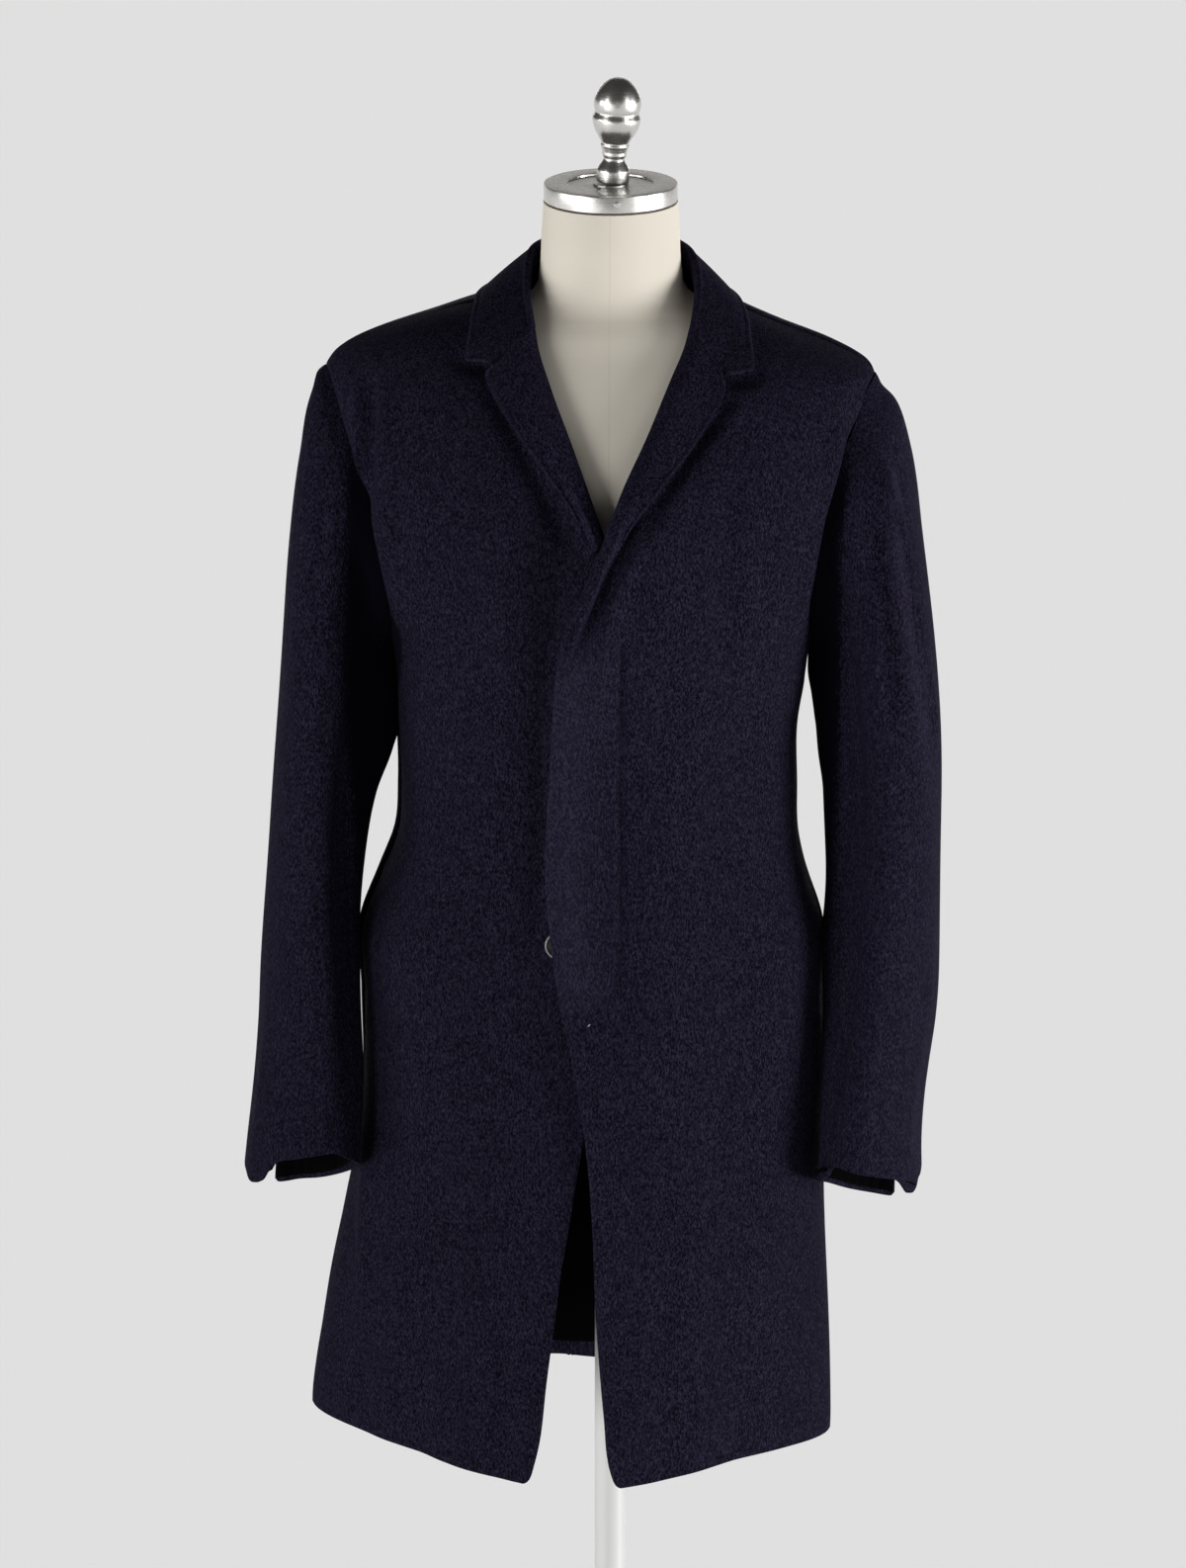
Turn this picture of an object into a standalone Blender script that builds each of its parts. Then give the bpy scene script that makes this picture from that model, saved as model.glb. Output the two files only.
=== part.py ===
"""A single-breasted wool overcoat with notched lapels and a covered fly, hanging open on a limbless
dress form.  Metres, +Z up, the front faces -Y.  The origin is the centre of the underside of the
stand's base.  Left and right are the wearer's: left is +X."""

from collections import namedtuple
from math import cos, pi, radians, sin

import bmesh
import bpy
import numpy as np
from mathutils import Matrix, Vector

# ---- cloth -----------------------------------------------------------------------------------
WOOL = 0.0026               # brushed melton, one layer
PRESSED = 0.0021            # the same where it is pressed into a fold: lapels and collar
LINING = 0.0012
SEAM = 0.00035              # half-open joint between two pieces that are sewn together
FRONT_LIFT = 0.0110         # how far the left front stands over the right one along the fly
LOW_LIFT = 0.0035           # the same below the last button, where the fronts swing apart
FLY_STRIP = 0.0014          # thin strip with the buttonholes, behind the left front
BUTTON_RADIUS = 0.0110
BUTTON_THICK = 0.0030

# ---- landmarks of the coat (heights above the floor) ----------------------------------------------
HEM_RIGHT, HEM_LEFT = 0.5330, 0.5100        # at the side seams
HEM_FRONT_RIGHT, HEM_FRONT_LEFT = 0.5125, 0.5105
HEM_BACK = 0.517
HEM_RISE = 0.009                            # how much higher it hangs between front and side
ARMPIT = 1.187
SHOULDER_POINT = {-1: 1.400, 1: 1.392}
NECK_POINT = 1.4585
BACK_NECK = 1.470
V_BOTTOM = 1.284
GORGE = 1.441                # where collar and lapel meet on the roll line

Section = namedtuple("Section", "height centre half_width skew front back square")
BODY = [  # the coat's outer surface, from the hem to the neck; skew widens +X and narrows -X
    Section(0.480, -0.0335, 0.2160, 0.0000, 0.1700, 0.1680, 1.60),
    Section(0.545, -0.0320, 0.2125, 0.0000, 0.1660, 0.1640, 1.70),
    Section(0.630, -0.0270, 0.2045, 0.0000, 0.1590, 0.1570, 1.90),
    Section(0.716, -0.0200, 0.1950, 0.0000, 0.1530, 0.1500, 2.15),
    Section(0.800, -0.0140, 0.1880, 0.0000, 0.1490, 0.1460, 2.30),
    Section(0.884, -0.0140, 0.1865, 0.0000, 0.1460, 0.1430, 2.30),
    Section(0.945, -0.0145, 0.1860, 0.0000, 0.1420, 0.1380, 2.30),
    Section(0.985, -0.0130, 0.1725, 0.0000, 0.1390, 0.1330, 2.35),
    Section(1.020, -0.0105, 0.1615, 0.0000, 0.1360, 0.1280, 2.35),
    Section(1.060, -0.0100, 0.1590, 0.0000, 0.1340, 0.1240, 2.35),
    Section(1.110, -0.0110, 0.1595, 0.0000, 0.1340, 0.1250, 2.35),
    Section(1.150, -0.0080, 0.1640, 0.0000, 0.1350, 0.1280, 2.40),
    Section(1.187, -0.0070, 0.1700, 0.0000, 0.1360, 0.1300, 2.40),
    Section(1.245, -0.0090, 0.1890, 0.0000, 0.1350, 0.1320, 2.40),
    Section(1.290, -0.0100, 0.1995, 0.0000, 0.1310, 0.1310, 2.40),
    Section(1.340, -0.0080, 0.2120, -0.0010, 0.1160, 0.1260, 2.40),
    Section(1.380, -0.0065, 0.2165, -0.0020, 0.0990, 0.1180, 2.40),
    Section(1.400, -0.0060, 0.2125, -0.0040, 0.0880, 0.1110, 2.35),
    Section(1.415, -0.0050, 0.1930, -0.0120, 0.0790, 0.1030, 2.30),
    Section(1.430, -0.0040, 0.1600, -0.0150, 0.0700, 0.0950, 2.20),
    Section(1.445, -0.0030, 0.1210, -0.0090, 0.0610, 0.0870, 2.10),
    Section(1.4585, -0.0010, 0.0845, -0.0015, 0.0530, 0.0790, 2.00),
    Section(1.472, 0.0000, 0.0710, 0.0000, 0.0480, 0.0740, 2.00),
]

Edge = namedtuple("Edge", "height x")
LEFT_FRONT_EDGE = [
    Edge(0.500, 0.0050), Edge(0.530, -0.0010), Edge(0.575, -0.0061), Edge(0.650, -0.0116),
    Edge(0.739, -0.0152), Edge(0.805, -0.0211), Edge(0.873, -0.0321), Edge(0.917, -0.0406),
    Edge(0.968, -0.0476), Edge(1.020, -0.0507), Edge(1.080, -0.0480), Edge(1.148, -0.0443),
    Edge(1.191, -0.0404), Edge(1.217, -0.0342), Edge(1.246, -0.0210), Edge(1.270, -0.0115),
    Edge(1.284, -0.0050),
]
RIGHT_FRONT_EDGE = [  # hidden by the left front above 0.79
    Edge(0.500, -0.0740), Edge(0.550, -0.0568), Edge(0.600, -0.0512), Edge(0.650, -0.0448),
    Edge(0.692, -0.0393), Edge(0.729, -0.0329), Edge(0.775, -0.0258), Edge(0.860, -0.0080),
    Edge(0.950, 0.0140), Edge(1.060, 0.0230), Edge(1.150, 0.0240), Edge(1.230, 0.0140),
    Edge(1.284, -0.0080),
]

Roll = namedtuple("Roll", "height x")
ROLL_LINE = {  # the fold of each lapel, up to the collar seam
    -1: [Roll(1.284, -0.0050), Roll(1.325, -0.0205), Roll(1.359, -0.0335), Roll(1.398, -0.0490),
         Roll(1.424, -0.0580), Roll(1.441, -0.0610)],
    1: [Roll(1.284, -0.0040), Roll(1.320, 0.0100), Roll(1.359, 0.0288), Roll(1.402, 0.0482),
        Roll(1.424, 0.0585), Roll(1.441, 0.0635)],
}


class Curve:
    """A smooth curve through the rows of a table, read at any value of its first column."""

    def __init__(self, rows):
        table = np.array(rows, dtype=float)
        self.names = rows[0]._fields[1:]
        self.at = table[:, 0]
        self.values = table[:, 1:]
        slopes = np.gradient(self.values, self.at, axis=0)
        self.slopes = slopes

    def __call__(self, where):
        where = np.clip(np.asarray(where, dtype=float), self.at[0], self.at[-1])
        row = np.clip(np.searchsorted(self.at, where) - 1, 0, len(self.at) - 2)
        span = self.at[row + 1] - self.at[row]
        t = ((where - self.at[row]) / span)[..., None]
        span = span[..., None]
        a, b = self.values[row], self.values[row + 1]
        sa, sb = self.slopes[row] * span, self.slopes[row + 1] * span
        value = (
            a * (2 * t**3 - 3 * t**2 + 1) + sa * (t**3 - 2 * t**2 + t)
            + b * (3 * t**2 - 2 * t**3) + sb * (t**3 - t**2)
        )
        return [value[..., k] for k in range(value.shape[-1])]


BODY_AT = Curve(BODY)
LEFT_EDGE_AT = Curve(LEFT_FRONT_EDGE)
RIGHT_EDGE_AT = Curve(RIGHT_FRONT_EDGE)
ROLL_AT = {side: Curve(rows) for side, rows in ROLL_LINE.items()}


def smooth(value, low, high):
    """0 below low, 1 above high, an S between them."""
    t = np.clip((value - low) / (high - low), 0.0, 1.0)
    return t * t * (3 - 2 * t)


def stack(x, y, z):
    return np.stack(np.broadcast_arrays(x, y, z), axis=-1)


def signed_power(value, power):
    return np.sign(value) * np.abs(value) ** power


def unit(vectors):
    return vectors / np.maximum(np.linalg.norm(vectors, axis=-1, keepdims=True), 1e-12)


# ---- the body's surface -------------------------------------------------------------------------
# A point is given by its turn, 0 at the middle of the front, 90 degrees at the wearer's left
# side, 180 at the middle of the back, and its height.
def body_point(turn, height):
    centre, half_width, skew, front, back, square = BODY_AT(height)
    across = signed_power(np.sin(turn), 2 / square)
    along = signed_power(np.cos(turn), 2 / square)
    depth = np.where(np.cos(turn) > 0, front, back)
    reach = half_width + skew * np.sign(across)
    return stack(centre + reach * across, -depth * along, height)


def normal_of(surface, first, second, step=1e-3, facing=1.0):
    """Unit normal of a surface of two parameters."""
    a = surface(first + step, second) - surface(first - step, second)
    b = surface(first, second + step) - surface(first, second - step)
    return unit(np.cross(a, b)) * facing


def body_normal(turn, height):
    return normal_of(body_point, turn, height)


def turn_of_x(x, height):
    """Turn of the point on the front at a given x."""
    centre, half_width, skew, _, _, square = BODY_AT(height)
    reach = half_width + skew * np.sign(x - centre)
    share = np.clip((x - centre) / reach, -0.9999, 0.9999)
    return np.arcsin(signed_power(share, square / 2))


def hem_height(turn):
    left = np.sin(turn) > 0
    side = np.where(left, HEM_LEFT, HEM_RIGHT)
    front = np.where(left, HEM_FRONT_LEFT, HEM_FRONT_RIGHT)
    middle = np.where(np.cos(turn) > 0, front, HEM_BACK)
    return middle + (side - middle) * np.sin(turn) ** 2 + HEM_RISE * np.sin(2 * turn) ** 2


# ---- the armhole: an egg, seen from the side, laid on the body ----------------------------------------
ARMHOLE_FRONT = 0.062        # how far it reaches forward and back
ARMHOLE_BACK = 0.077
ARMHOLE_DROP = 0.16          # how much fuller it is low down
ARM_STEPS = 9                # steps from the shoulder point to the armpit


def armhole_turn_height(side, angle, wider=0.0):
    """Angle 0 at the shoulder point, 90 degrees in front, 180 at the armpit."""
    top, bottom = SHOULDER_POINT[side] + wider, ARMPIT - wider
    height = (top + bottom) / 2 + (top - bottom) / 2 * np.cos(angle)
    reach = np.where(np.sin(angle) >= 0, ARMHOLE_FRONT, ARMHOLE_BACK) + wider
    forward = reach * np.sin(angle) * (1 - ARMHOLE_DROP * np.cos(angle))
    *_, front, back, square = BODY_AT(height)
    depth = np.where(forward >= 0, front, back)
    turn = np.arccos(signed_power(np.clip(np.abs(forward) / depth, 0, 1), square / 2))
    turn = np.where(forward >= 0, turn, pi - turn)
    return side * turn, height


# ---- panels of the body: four-sided patches in (turn, height) ------------------------------------------
LOW_ROWS, ARM_ROWS, SHOULDER_ROWS = 9, ARM_STEPS, 4
PANEL_ROWS = LOW_ROWS + ARM_ROWS + SHOULDER_ROWS
INNER_ARMPIT, INNER_SHOULDER = 1.175, 1.392      # heights at the inner edge of the same rows


def outer_edge(side, row, back):
    """Turn and height of the panel's outer edge: side seam, armhole, shoulder seam."""
    low = row / LOW_ROWS
    arm = (row - LOW_ROWS) / ARM_ROWS
    top = (row - LOW_ROWS - ARM_ROWS) / SHOULDER_ROWS
    angle = pi * (1 - np.clip(arm, 0, 1))
    turn, height = armhole_turn_height(side, -angle if back else angle, SEAM)
    half = side * pi / 2
    turn = np.where((arm <= 0) | (top >= 0), half, turn)
    hem = hem_height(half)
    height = np.where(arm <= 0, hem + (ARMPIT - SEAM - hem) * np.clip(low, 0, 1), height)
    point = SHOULDER_POINT[side] + SEAM
    height = np.where(top > 0, point + (NECK_POINT - point) * np.clip(top, 0, 1), height)
    return turn, height


def inner_height(row, low_end, last):
    low = np.clip(row / LOW_ROWS, 0, 1)
    arm = np.clip((row - LOW_ROWS) / ARM_ROWS, 0, 1)
    top = np.clip((row - LOW_ROWS - ARM_ROWS) / SHOULDER_ROWS, 0, 1)
    return (
        low_end + (INNER_ARMPIT - low_end) * low
        + (INNER_SHOULDER - INNER_ARMPIT) * arm + (last - INNER_SHOULDER) * top
    )


LAPEL_UNDERLAP = 0.0094      # the front panel ends this far under the lapel's fold
ROLL_START = {-1: (1.255, 1.284), 1: (1.184, 1.208)}     # heights over which the fold begins


def front_edge_x(side, height):
    edge = LEFT_EDGE_AT if side > 0 else RIGHT_EDGE_AT
    roll = ROLL_AT[side](height)[0]
    blend = smooth(height, V_BOTTOM - 0.012, V_BOTTOM + 0.022)
    under = side * LAPEL_UNDERLAP * smooth(height, *ROLL_START[side])
    return edge(height)[0] * (1 - blend) + roll * blend + under


def front_place(side, u, v):
    """Turn and height on a front panel: u from the front edge to the side, v from hem to neck."""
    row = v * PANEL_ROWS
    turn_out, height_out = outer_edge(side, row, False)
    height_in = inner_height(row, hem_height(0.0), GORGE)
    turn_in = turn_of_x(front_edge_x(side, height_in), height_in)
    turn = turn_in + (turn_out - turn_in) * u
    height = height_in + (height_out - height_in) * u
    low = np.clip(row / LOW_ROWS, 0, 1)
    bend = (hem_height(turn) - (hem_height(0.0) + (hem_height(side * pi / 2) - hem_height(0.0)) * u))
    return turn, height + bend * (1 - low)


def back_place(side, u, v):
    """u from the centre-back seam to the side."""
    row = v * PANEL_ROWS
    turn_out, height_out = outer_edge(side, row, True)
    height_in = inner_height(row, hem_height(pi), BACK_NECK)
    turn_in = side * pi
    turn = turn_in + (turn_out - turn_in) * u
    return turn, height_in + (height_out - height_in) * u


def lift_of(side, turn, height):
    """How far the left front stands off the surface that the right front lies on."""
    if side < 0:
        return 0.0 * turn
    x = body_point(turn, height)[..., 0]
    most = LOW_LIFT + (FRONT_LIFT - LOW_LIFT) * smooth(height, 0.74, 0.90)
    return most * (1 - smooth(x, 0.030, 0.100)) * (1 - smooth(height, 1.290, 1.385))


def front_point(side, turn, height, out=0.0):
    """A point on a front panel's outer face, moved out."""
    out = out + lift_of(side, turn, height)
    return body_point(turn, height) + body_normal(turn, height) * np.asarray(out)[..., None]


# ---- sleeves ---------------------------------------------------------------------------------------
Ring = namedtuple("Ring", "way outer_x outer_z inner_x inner_z centre_y half_depth pitch yaw")
SLEEVE = {  # x is measured outwards from the middle; way runs down the sleeve
    -1: [
        Ring(0.00, 0.2225, 1.400, 0.1770, 1.187, 0.0075, 0.0695, 0, 0),
        Ring(0.05, 0.2390, 1.378, 0.1790, 1.163, 0.0070, 0.0710, 0, 0),
        Ring(0.12, 0.2480, 1.330, 0.1750, 1.125, 0.0060, 0.0740, 0, 0),
        Ring(0.22, 0.2560, 1.262, 0.1775, 1.085, 0.0050, 0.0780, 1, 0),
        Ring(0.34, 0.2635, 1.175, 0.1900, 1.048, 0.0040, 0.0790, 2, 1),
        Ring(0.46, 0.2705, 1.080, 0.1980, 1.000, 0.001, 0.077, 4, 3),
        Ring(0.58, 0.2760, 0.990, 0.2030, 0.950, -0.006, 0.073, 8, 6),
        Ring(0.70, 0.2830, 0.900, 0.2035, 0.885, -0.019, 0.069, 13, 10),
        Ring(0.82, 0.2895, 0.830, 0.2020, 0.825, -0.034, 0.065, 18, 12),
        Ring(0.92, 0.2950, 0.775, 0.2040, 0.780, -0.046, 0.062, 22, 12),
        Ring(1.00, 0.2975, 0.737, 0.2060, 0.748, -0.055, 0.060, 24, 12),
    ],
    1: [
        Ring(0.00, 0.2055, 1.392, 0.1630, 1.187, 0.0075, 0.0695, 0, 0),
        Ring(0.05, 0.2240, 1.370, 0.1650, 1.163, 0.0070, 0.0710, 0, 0),
        Ring(0.12, 0.2370, 1.330, 0.1620, 1.125, 0.0060, 0.0740, 0, 0),
        Ring(0.22, 0.2480, 1.262, 0.1650, 1.085, 0.0050, 0.0780, 1, 0),
        Ring(0.34, 0.2590, 1.175, 0.1710, 1.048, 0.0040, 0.0790, 2, 1),
        Ring(0.46, 0.2665, 1.080, 0.1740, 1.000, 0.001, 0.077, 4, 3),
        Ring(0.58, 0.2675, 0.990, 0.1760, 0.950, -0.006, 0.073, 8, 6),
        Ring(0.70, 0.2650, 0.900, 0.1800, 0.885, -0.019, 0.069, 13, 10),
        Ring(0.82, 0.2585, 0.830, 0.1750, 0.825, -0.034, 0.065, 18, 12),
        Ring(0.92, 0.2545, 0.775, 0.1700, 0.780, -0.046, 0.062, 22, 12),
        Ring(1.00, 0.2535, 0.729, 0.1680, 0.745, -0.055, 0.060, 24, 12),
    ],
}
SLEEVE_AT = {side: Curve(rows) for side, rows in SLEEVE.items()}
SLEEVE_SQUARE = 2.35
ARMHOLE_EASE = 0.16          # share of the sleeve over which its head turns into a round tube


def sleeve_ring(side, way, angle):
    outer_x, outer_z, inner_x, inner_z, centre_y, half_depth, pitch, yaw = SLEEVE_AT[side](way)
    pitch, yaw = np.radians(pitch), np.radians(yaw)
    across = signed_power(np.cos(angle), 2 / SLEEVE_SQUARE)
    forward = signed_power(np.sin(angle), 2 / SLEEVE_SQUARE) * half_depth
    half_x, half_z = (outer_x - inner_x) / 2, (outer_z - inner_z) / 2
    x = (outer_x + inner_x) / 2 + half_x * across - forward * np.sin(yaw)
    y = centre_y - forward * np.cos(yaw) * np.cos(pitch) + half_x * across * np.sin(yaw)
    z = (outer_z + inner_z) / 2 + half_z * across + forward * np.sin(pitch)
    return stack(side * x, y, z)


def sleeve_point(side, way, angle):
    ring = sleeve_ring(side, way, angle)
    turn, height = armhole_turn_height(side, angle)
    head = body_point(turn, height) - sleeve_ring(side, np.zeros_like(way), angle)
    keep = 1 - smooth(way, 0.0, ARMHOLE_EASE)
    return ring + head * keep[..., None]


def sleeve_normal(side, way, angle):
    inside = np.maximum(way, 0.012)
    own = normal_of(lambda a, b: sleeve_point(side, a, b), inside, angle, 2e-3, -side)
    turn, height = armhole_turn_height(side, angle)
    body = body_normal(turn, height)
    keep = ((1 - smooth(way, 0.0, 0.035)) * smooth(np.cos(angle), -0.3, 0.3))[..., None]
    return unit(own * (1 - keep) + body * keep)


# ---- making solids -----------------------------------------------------------------------------------
def material(name, colour, roughness, metallic=0.0):
    finish = bpy.data.materials.new(name)
    finish.use_nodes = True
    shader = finish.node_tree.nodes["Principled BSDF"]
    shader.inputs["Base Color"].default_value = (*colour, 1.0)
    shader.inputs["Roughness"].default_value = roughness
    shader.inputs["Metallic"].default_value = metallic
    return finish


def keep_mesh(name, bm, finish, sharp=35):
    bmesh.ops.recalc_face_normals(bm, faces=bm.faces[:])
    if bm.calc_volume(signed=True) < 0:
        bmesh.ops.reverse_faces(bm, faces=bm.faces[:])
    mesh = bpy.data.meshes.new(name)
    bm.to_mesh(mesh)
    bm.free()
    mesh.materials.append(finish)
    mesh.shade_smooth()
    mesh.set_sharp_from_angle(angle=radians(sharp))
    thing = bpy.data.objects.new(name, mesh)
    bpy.context.scene.collection.objects.link(thing)
    return thing


def cloth(name, outside, normal, columns, rows, thickness, finish):
    """A closed wall: outside(u, v) is its outer face, and normal(u, v) points away from it."""
    bm = bmesh.new()
    bmesh.ops.create_grid(bm, x_segments=columns, y_segments=rows, size=0.5)
    outer = bm.verts[:]
    grown = bmesh.ops.extrude_face_region(bm, geom=bm.faces[:], use_keep_orig=True)
    inner = [item for item in grown["geom"] if isinstance(item, bmesh.types.BMVert)]
    for verts, depth in ((outer, 0.0), (inner, thickness)):
        shares = np.array([vert.co[:2] for vert in verts]) + 0.5
        u, v = shares[:, 0], shares[:, 1]
        places = outside(u, v) - normal(u, v) * depth
        for vert, place in zip(verts, places):
            vert.co = place
    return keep_mesh(name, bm, finish)


# ---- finishes ------------------------------------------------------------------------------------------
for thing in list(bpy.data.objects):
    bpy.data.objects.remove(thing, do_unlink=True)

NAVY = material("navy_wool", (0.0095, 0.0080, 0.0170), 0.95)
BLACK_LINING = material("black_lining", (0.003, 0.003, 0.004), 0.55)
HORN = material("dark_horn", (0.012, 0.011, 0.014), 0.35)
CANVAS = material("cream_canvas", (0.74, 0.67, 0.58), 0.80)
ALUMINIUM = material("turned_aluminium", (0.62, 0.61, 0.60), 0.28, 1.0)
PAINTED = material("pale_painted_steel", (0.62, 0.62, 0.61), 0.45)

SIDES = {"left": 1, "right": -1}
EDGE_KEEP = 0.0009           # share of a panel left free at a seam


# ---- fronts and back -----------------------------------------------------------------------------------
def make_front(word):
    side = SIDES[word]

    def outside(u, v):
        turn, height = front_place(side, u * (1 - EDGE_KEEP), v)
        return front_point(side, turn, height)

    def normal(u, v):
        turn, height = front_place(side, u * (1 - EDGE_KEEP), v)
        return body_normal(turn, height)

    return cloth(f"front_{word}", outside, normal, 11, PANEL_ROWS, WOOL, NAVY)


def make_back(word):
    side = SIDES[word]

    def place(u, v):
        return back_place(side, EDGE_KEEP + u * (1 - 2 * EDGE_KEEP), v)

    def outside(u, v):
        return body_point(*place(u, v))

    def normal(u, v):
        return body_normal(*place(u, v))

    return cloth(f"back_{word}", outside, normal, 8, PANEL_ROWS, WOOL, NAVY)


# ---- two-piece sleeves --------------------------------------------------------------------------------
FOREARM_SEAM = (radians(140), radians(158))      # angle of the seam at the armhole and at the cuff
HIND_SEAM = (radians(-120), radians(-52))
VENT_LENGTH = 0.13           # share of the sleeve that is slit at the cuff
VENT_OPENING = 0.16          # half its opening at the hem, in radians
SEAM_ANGLE = 0.0028
FIRST_ROWS = 1.3             # power that sets the rows closer together at the armhole


def seam_angle(seam, way):
    return seam[0] + (seam[1] - seam[0]) * smooth(way, 0.0, 0.9)


def vent(way):
    return VENT_OPENING * smooth(way, 1 - VENT_LENGTH, 1.0)


def make_sleeve(word):
    side = SIDES[word]

    def top_place(u, v):
        back = seam_angle(HIND_SEAM, v) + SEAM_ANGLE + vent(v)
        front = seam_angle(FOREARM_SEAM, v) - SEAM_ANGLE
        return v, back + (front - back) * u

    def under_place(u, v):
        front = seam_angle(FOREARM_SEAM, v) + SEAM_ANGLE
        back = seam_angle(HIND_SEAM, v) + 2 * pi - SEAM_ANGLE - vent(v)
        return v, front + (back - front) * u

    for part, place, columns in (("top", top_place, 13), ("under", under_place, 5)):
        cloth(
            f"{part}_sleeve_{word}",
            lambda u, v: sleeve_point(side, *place(u, v**FIRST_ROWS)),
            lambda u, v: sleeve_normal(side, *place(u, v**FIRST_ROWS)),
            columns, 15, WOOL, NAVY,
        )


for word in SIDES:
    make_front(word)
    make_back(word)
    make_sleeve(word)


# ---- lapels: the facing turned back over the front -----------------------------------------------------
Lapel = namedtuple("Lapel", "way roll_z edge_x edge_z")
LAPEL = {  # from the bottom of the V, or the rolled front edge below it, up to the collar seam
    -1: [Lapel(0.00, 1.284, -0.0160, 1.2730), Lapel(0.20, 1.316, -0.0310, 1.3060),
         Lapel(0.45, 1.356, -0.0610, 1.3460), Lapel(0.72, 1.397, -0.0905, 1.3880),
         Lapel(0.86, 1.419, -0.0975, 1.4030), Lapel(1.00, 1.441, -0.0925, 1.4115)],
    1: [Lapel(0.00, 1.205, -0.0300, 1.1950), Lapel(0.14, 1.228, -0.0195, 1.2240),
        Lapel(0.28, 1.258, -0.0055, 1.2580), Lapel(0.40, 1.286, 0.0110, 1.2860),
        Lapel(0.58, 1.330, 0.0400, 1.3230), Lapel(0.76, 1.378, 0.0730, 1.3650),
        Lapel(0.90, 1.415, 0.0890, 1.3930), Lapel(1.00, 1.441, 0.0855, 1.4080)],
}
LAPEL_AT = {side: Curve(rows) for side, rows in LAPEL.items()}
Fold = namedtuple("Fold", "way distance height")
LAPEL_FOLD = [  # the facing's outer face across the fold, from where the front panel ends
    Fold(0.00, 0.0074, -0.0026), Fold(0.11, 0.0022, -0.0022), Fold(0.22, -0.0016, 0.0014),
    Fold(0.33, 0.0012, 0.0054), Fold(0.45, 0.0080, 0.0070),
]
FOLD_AT = Curve(LAPEL_FOLD)
LAPEL_REST = 0.0044          # outer face of the lapel's edge, above the front it lies on
FOLD_END = 0.45


def roll_x(side, height):
    """Fold line of a front: its lapel's roll above, its own edge below the V."""
    roll = ROLL_AT[side](height)[0]
    if side < 0:
        return roll
    blend = smooth(height, V_BOTTOM - 0.012, V_BOTTOM + 0.022)
    return LEFT_EDGE_AT(height)[0] * (1 - blend) + roll * blend


def lapel_point(side, u, v):
    """u across, from the hidden joint over the fold to the outer edge; v up the fold line."""
    roll_z, edge_x, edge_z = LAPEL_AT[side](v)
    roll = roll_x(side, roll_z)
    across, rise = edge_x - roll, edge_z - roll_z
    width = np.hypot(across, rise)
    small = np.clip(width / 0.018, 0.6, 1.0)
    distance, height = FOLD_AT(np.minimum(u, FOLD_END))
    distance = distance * small
    flat = np.clip((u - FOLD_END) / (1 - FOLD_END), 0, 1)
    start, stop = 0.0080 * small, width
    distance = np.where(u > FOLD_END, start + (stop - start) * flat, distance)
    settle = 0.0070 + (LAPEL_REST - 0.0070) * smooth(flat, 0.0, 0.75)
    height = np.where(u > FOLD_END, settle, height)
    x = roll + across / width * distance
    z = roll_z + rise / width * distance
    return front_point(side, turn_of_x(x, z), z, height)


LAPEL_END = 0.988            # of its length, where it stops short of the collar


def make_lapel(word):
    side = SIDES[word]

    def outside(u, v):
        return lapel_point(side, u, v * LAPEL_END)

    def normal(u, v):
        return normal_of(lambda a, b: lapel_point(side, a, b), u, v * LAPEL_END, 2e-3, side)

    return cloth(f"lapel_{word}", outside, normal, 9, 10, PRESSED, NAVY)


# ---- collar ----------------------------------------------------------------------------------------
Neck = namedtuple("Neck", "way fold_x fold_y fold_z turn height drop")
COLLAR = {  # half of it, from the lapel's seam to the middle of the back; turn and height: outer edge
    -1: [
        Neck(0.00, 0.0615, -0.0640, 1.4415, 28.2, 1.4126, 0.0060),
        Neck(0.06, 0.0634, -0.0545, 1.4504, 30.3, 1.4196, 0.0075),
        Neck(0.12, 0.0650, -0.0450, 1.4590, 34.1, 1.4274, 0.0090),
        Neck(0.19, 0.0661, -0.0336, 1.4685, 42.8, 1.4379, 0.0111),
        Neck(0.26, 0.0665, -0.0220, 1.4770, 57.2, 1.4469, 0.0130),
        Neck(0.34, 0.0660, -0.0080, 1.4853, 73.5, 1.4510, 0.0143),
        Neck(0.42, 0.0640, 0.0060, 1.4915, 90.0, 1.4528, 0.0150),
        Neck(0.62, 0.0500, 0.0390, 1.4960, 126.0, 1.4540, 0.0150),
        Neck(0.82, 0.0270, 0.0630, 1.4980, 156.0, 1.4545, 0.0150),
        Neck(1.00, 0.0000, 0.0690, 1.4985, 180.0, 1.4540, 0.0150),
    ],
    1: [
        Neck(0.00, 0.0640, -0.0640, 1.4415, 32.0, 1.4048, 0.0060),
        Neck(0.06, 0.0662, -0.0545, 1.4504, 35.7, 1.4130, 0.0075),
        Neck(0.12, 0.0680, -0.0450, 1.4590, 41.5, 1.4218, 0.0090),
        Neck(0.19, 0.0690, -0.0336, 1.4683, 52.0, 1.4322, 0.0111),
        Neck(0.26, 0.0690, -0.0220, 1.4765, 64.5, 1.4408, 0.0130),
        Neck(0.34, 0.0678, -0.0080, 1.4842, 77.0, 1.4464, 0.0143),
        Neck(0.42, 0.0650, 0.0060, 1.4900, 90.0, 1.4490, 0.0150),
        Neck(0.62, 0.0505, 0.0390, 1.4955, 126.0, 1.4525, 0.0150),
        Neck(0.82, 0.0275, 0.0630, 1.4980, 156.0, 1.4542, 0.0150),
        Neck(1.00, 0.0000, 0.0690, 1.4985, 180.0, 1.4540, 0.0150),
    ],
}
COLLAR_AT = {side: Curve(rows) for side, rows in COLLAR.items()}
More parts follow.
